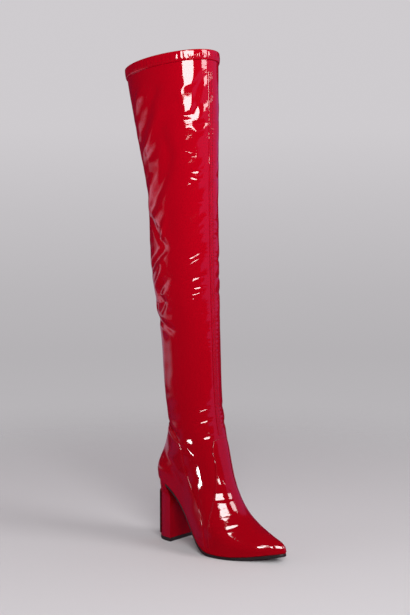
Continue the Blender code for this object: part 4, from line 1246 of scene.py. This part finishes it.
# Lights: name, place as (direction from the boot in degrees, distance, height), the place on the boot's
# middle plane that it faces as (Y, height), (width, height), power, spread in degrees, whether it lights the
# boot, whether the boot mirrors it, and tint. Lengths are in metres
WHITE, PANEL_TINT = (1.0, 1.0, 1.0), (1.0, 0.66, 0.88)
SOFT_BOXES = (
    ("key_box", (-127.0, 2.30, 1.41), (-0.04, 0.36), (1.32, 1.22), 49.5, 180.0, True, True, WHITE),
    ("right_box", (-72.0, 2.00, 1.40), (-0.04, 0.36), (0.80, 0.90), 12.9, 180.0, False, True, WHITE),
    ("right_fill", (-72.0, 2.00, 1.65), (-0.04, 0.36), (0.80, 1.40), 20.0, 180.0, True, False, WHITE),
    ("toe_box", (-123.4, 0.36, 0.13), (-0.19, 0.025), (0.021, 0.070), 0.0040, 40.0, False, True, WHITE),
    ("low_box", (178.0, 0.32, 0.084), (-0.075, 0.125), (0.085, 0.020), 0.0047, 27.0, False, True, WHITE),
    ("side_panel", (125.0, 1.00, 0.37), (-0.04, 0.50), (0.90, 0.32), 0.16, 180.0, False, True, PANEL_TINT),
    ("panel_middle", (125.0, 0.99, 0.37), (-0.04, 0.50), (0.66, 0.22), 0.12, 180.0, False, True, PANEL_TINT),
    ("panel_core", (125.0, 0.98, 0.37), (-0.04, 0.50), (0.46, 0.14), 0.075, 180.0, False, True, PANEL_TINT),
    ("left_fill", (150.0, 2.00, 0.70), (-0.04, 0.36), (1.20, 1.50), 3.9, 180.0, True, False, WHITE),
    ("low_fill", (140.0, 1.10, 0.22), (-0.04, 0.12), (0.60, 0.40), 2.0, 180.0, True, False, WHITE),
)

# The camera: degrees from the toe to the outer side, distance, height, then its turn, tilt, lens and sensor
CAMERA_TURN, CAMERA_AWAY, CAMERA_HIGH = 45.3, 1804.5, 527.4
CAMERA_YAW, CAMERA_TILT, CAMERA_LENS, SENSOR_HIGH = 1.49, -5.3, 68.98, 36.0


def make_floor():
    """A pale sheet that fades into the backdrop."""
    turn = np.linspace(0, 2 * math.pi, FLOOR_SIDES, endpoint=False)
    points = [(0, 0, 0)]
    points += [(radius * math.cos(a), radius * math.sin(a), 0) for radius in FLOOR_RINGS for a in turn]
    around = [(i, (i + 1) % FLOOR_SIDES) for i in range(FLOOR_SIDES)]
    faces = [[0, 1 + i, 1 + j] for i, j in around]
    for start in range(1, len(points) - FLOOR_SIDES, FLOOR_SIDES):
        after = start + FLOOR_SIDES
        faces += [[start + i, after + i, after + j, start + j] for i, j in around]
    mesh = bpy.data.meshes.new("studio_floor")
    mesh.from_pydata(points, [], faces)
    look, tree, shader = new_material("pale_paper", Base_Color=PAPER, Roughness=0.6, Specular_IOR_Level=0.25)
    place = add_node(tree, "ShaderNodeTexCoord", {}, {}, "Object")
    away = add_node(tree, "ShaderNodeVectorMath", {"operation": "LENGTH"}, {0: place}, "Value")
    feed(tree, shader, Alpha=1.0 - eased_wire(tree, away, *FLOOR_FADES))
    mesh.materials.append(look)
    floor = bpy.data.objects.new("studio_floor", mesh)
    bpy.context.scene.collection.objects.link(floor)
    floor.visible_glossy = False


def soft_patch(tree, turned, height, edge, rise, fall=None):
    """A patch of the mirrored room: where a direction turns to its side, between two heights."""
    share = eased_wire(tree, turned, *edge) * eased_wire(tree, height, *rise)
    return share if fall is None else share * (1.0 - eased_wire(tree, height, *fall))


def make_world():
    """The backdrop that the camera sees, and the room as it lights the boot and as the boot mirrors it."""
    world = bpy.data.worlds.new("studio")
    bpy.context.scene.world = world
    world.use_nodes = True
    tree = world.node_tree
    tree.nodes.clear()
    place = add_node(tree, "ShaderNodeTexCoord", {}, {}, "Generated")
    height = add_node(tree, "ShaderNodeSeparateXYZ", {}, {"Vector": place}, "Z")
    seen = add_ramp(tree, 0.5 + 0.5 * height, [(0.5 + 0.5 * z, tone) for z, tone in BACKDROP_TONES])
    backdrop = add_node(tree, "ShaderNodeBackground", {}, {"Color": seen, "Strength": 1.0})
    pale = 1.0 - eased_wire(tree, facing(tree, place, DARK_SIDE), *DARK_EDGE)
    lit = colour_between(tree, pale, ROOM_LIGHT, BACKDROP_LIGHT)

    thigh = eased_wire(tree, height, *THIGH_RISE) * (1.0 - eased_wire(tree, height, *THIGH_FALL))
    widened = KNEE_WIDER * eased_wire(tree, height, *KNEE_RISE) + THIGH_WIDER * thigh
    low = soft_patch(tree, facing(tree, place, LOW_SIDE), height, LOW_EDGE, LOW_RISE, LOW_FALL)
    panel = soft_patch(tree, facing(tree, place, PALE_SIDE) + widened, height, PANEL_EDGE, PANEL_RISE)
    glow = soft_patch(tree, facing(tree, place, GLOW_SIDE), height, GLOW_EDGE, GLOW_RISE, GLOW_FALL)
    mirrored = colour_between(tree, low, MIRRORED_ROOM, MIRRORED_FLOOR)
    mirrored = colour_between(tree, panel, mirrored, MIRRORED_BACKDROP)
    mirrored = colour_between(tree, glow, mirrored, MIRRORED_GLOW)

    path = tree.nodes.new("ShaderNodeLightPath")
    glossy = Wire(tree, path.outputs["Is Glossy Ray"])
    around = add_node(tree, "ShaderNodeMix", {"data_type": "RGBA"}, {0: glossy, 6: lit, 7: mirrored}, 2)
    ambient = add_node(tree, "ShaderNodeBackground", {}, {"Color": around, "Strength": 1.0})
    camera = Wire(tree, path.outputs["Is Camera Ray"])
    both = add_node(tree, "ShaderNodeMixShader", {}, {0: camera, 1: ambient, 2: backdrop})
    output = tree.nodes.new("ShaderNodeOutputWorld")
    tree.links.new(both.socket, output.inputs["Surface"])


def make_lights():
    for name, (degrees, away, height), aimed, size, power, spread, lights, mirrored, tint in SOFT_BOXES:
        data = bpy.data.lights.new(name, "AREA")
        data.shape = "RECTANGLE"
        data.size, data.size_y = size
        data.energy = power
        data.spread = math.radians(spread)
        data.color = tint
        light = bpy.data.objects.new(name, data)
        turn = math.radians(degrees)
        spot = np.array([away * math.cos(turn), away * math.sin(turn), height])
        aim = np.array([0.0, *aimed]) - spot
        light.location = spot
        light.rotation_euler = (math.pi / 2 + math.atan2(aim[2], math.hypot(aim[0], aim[1])), 0,
                                math.atan2(aim[1], aim[0]) - math.pi / 2)
        light.visible_camera = False
        light.visible_diffuse = lights
        light.visible_glossy = mirrored
        bpy.context.scene.collection.objects.link(light)


def make_camera():
    data = bpy.data.cameras.new("camera")
    data.sensor_fit = "VERTICAL"
    data.sensor_height = SENSOR_HIGH
    data.lens = CAMERA_LENS
    camera = bpy.data.objects.new("camera", data)
    turn = math.radians(CAMERA_TURN)
    place = to_world((CAMERA_AWAY * math.cos(turn), CAMERA_AWAY * math.sin(turn), CAMERA_HIGH))
    camera.location = place
    heading = math.atan2(-place[1], -place[0]) - math.radians(CAMERA_YAW)
    camera.rotation_euler = (math.pi / 2 + math.radians(CAMERA_TILT), 0, heading - math.pi / 2)
    bpy.context.scene.collection.objects.link(camera)
    bpy.context.scene.camera = camera


def main():
    bpy.context.scene.view_settings.view_transform = "Standard"
    make_camera()
    make_floor()
    make_world()
    make_lights()
    patent = patent_leather("red_patent_leather", True)
    smooth = patent_leather("red_patent_cover", False)
    lining = woven("lining_cloth", (0.10, 0.075, 0.07), 0.9)
    sole = sole_leather("black_sole_leather", (0.008, 0.008, 0.009), 0.32, 900.0)
    rubber = sole_leather("black_rubber_lift", (0.010, 0.010, 0.011), 0.5, 1500.0)
    sock = sole_leather("insole_leather", (0.30, 0.20, 0.13), 0.5, 700.0)
    tape = woven("zip_ribbon_cloth", (0.22, 0.0, 0.008), 0.7)
    metal = lacquered_metal("red_lacquered_metal", (0.30, 0.008, 0.014), 0.6, 0.2)
    # Painted highlight: the coil is coloured pale salmon to stand in for the light caught along the zip's
    # edges
    coil = lacquered_metal("zip_coil_painted_highlight", (0.74, 0.20, 0.17), 0.2, 0.25)
    plate = lacquered_metal("dark_back_plate", (0.03, 0.03, 0.032), 0.9, 0.18)
    thread = woven("red_thread", (0.42, 0.01, 0.02), 0.5)

    stitching = Stitching()
    make_upper([patent, lining])
    make_vamp(patent, stitching)
    make_counter(patent, stitching)
    make_front_seam(patent, stitching)
    make_collar_band(smooth, stitching)
    make_outsole(sole)
    make_insole(sock)
    make_heel(smooth, rubber, plate)
    make_zip(tape, coil, stitching)
    stitches = stitching.make(thread)
    for node in ("zip_slider", "zip_pull"):
        metal_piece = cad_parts[node]
        metal_piece.material_slots[0].material = metal
        rounded(metal_piece, 0.25, 2)


main()
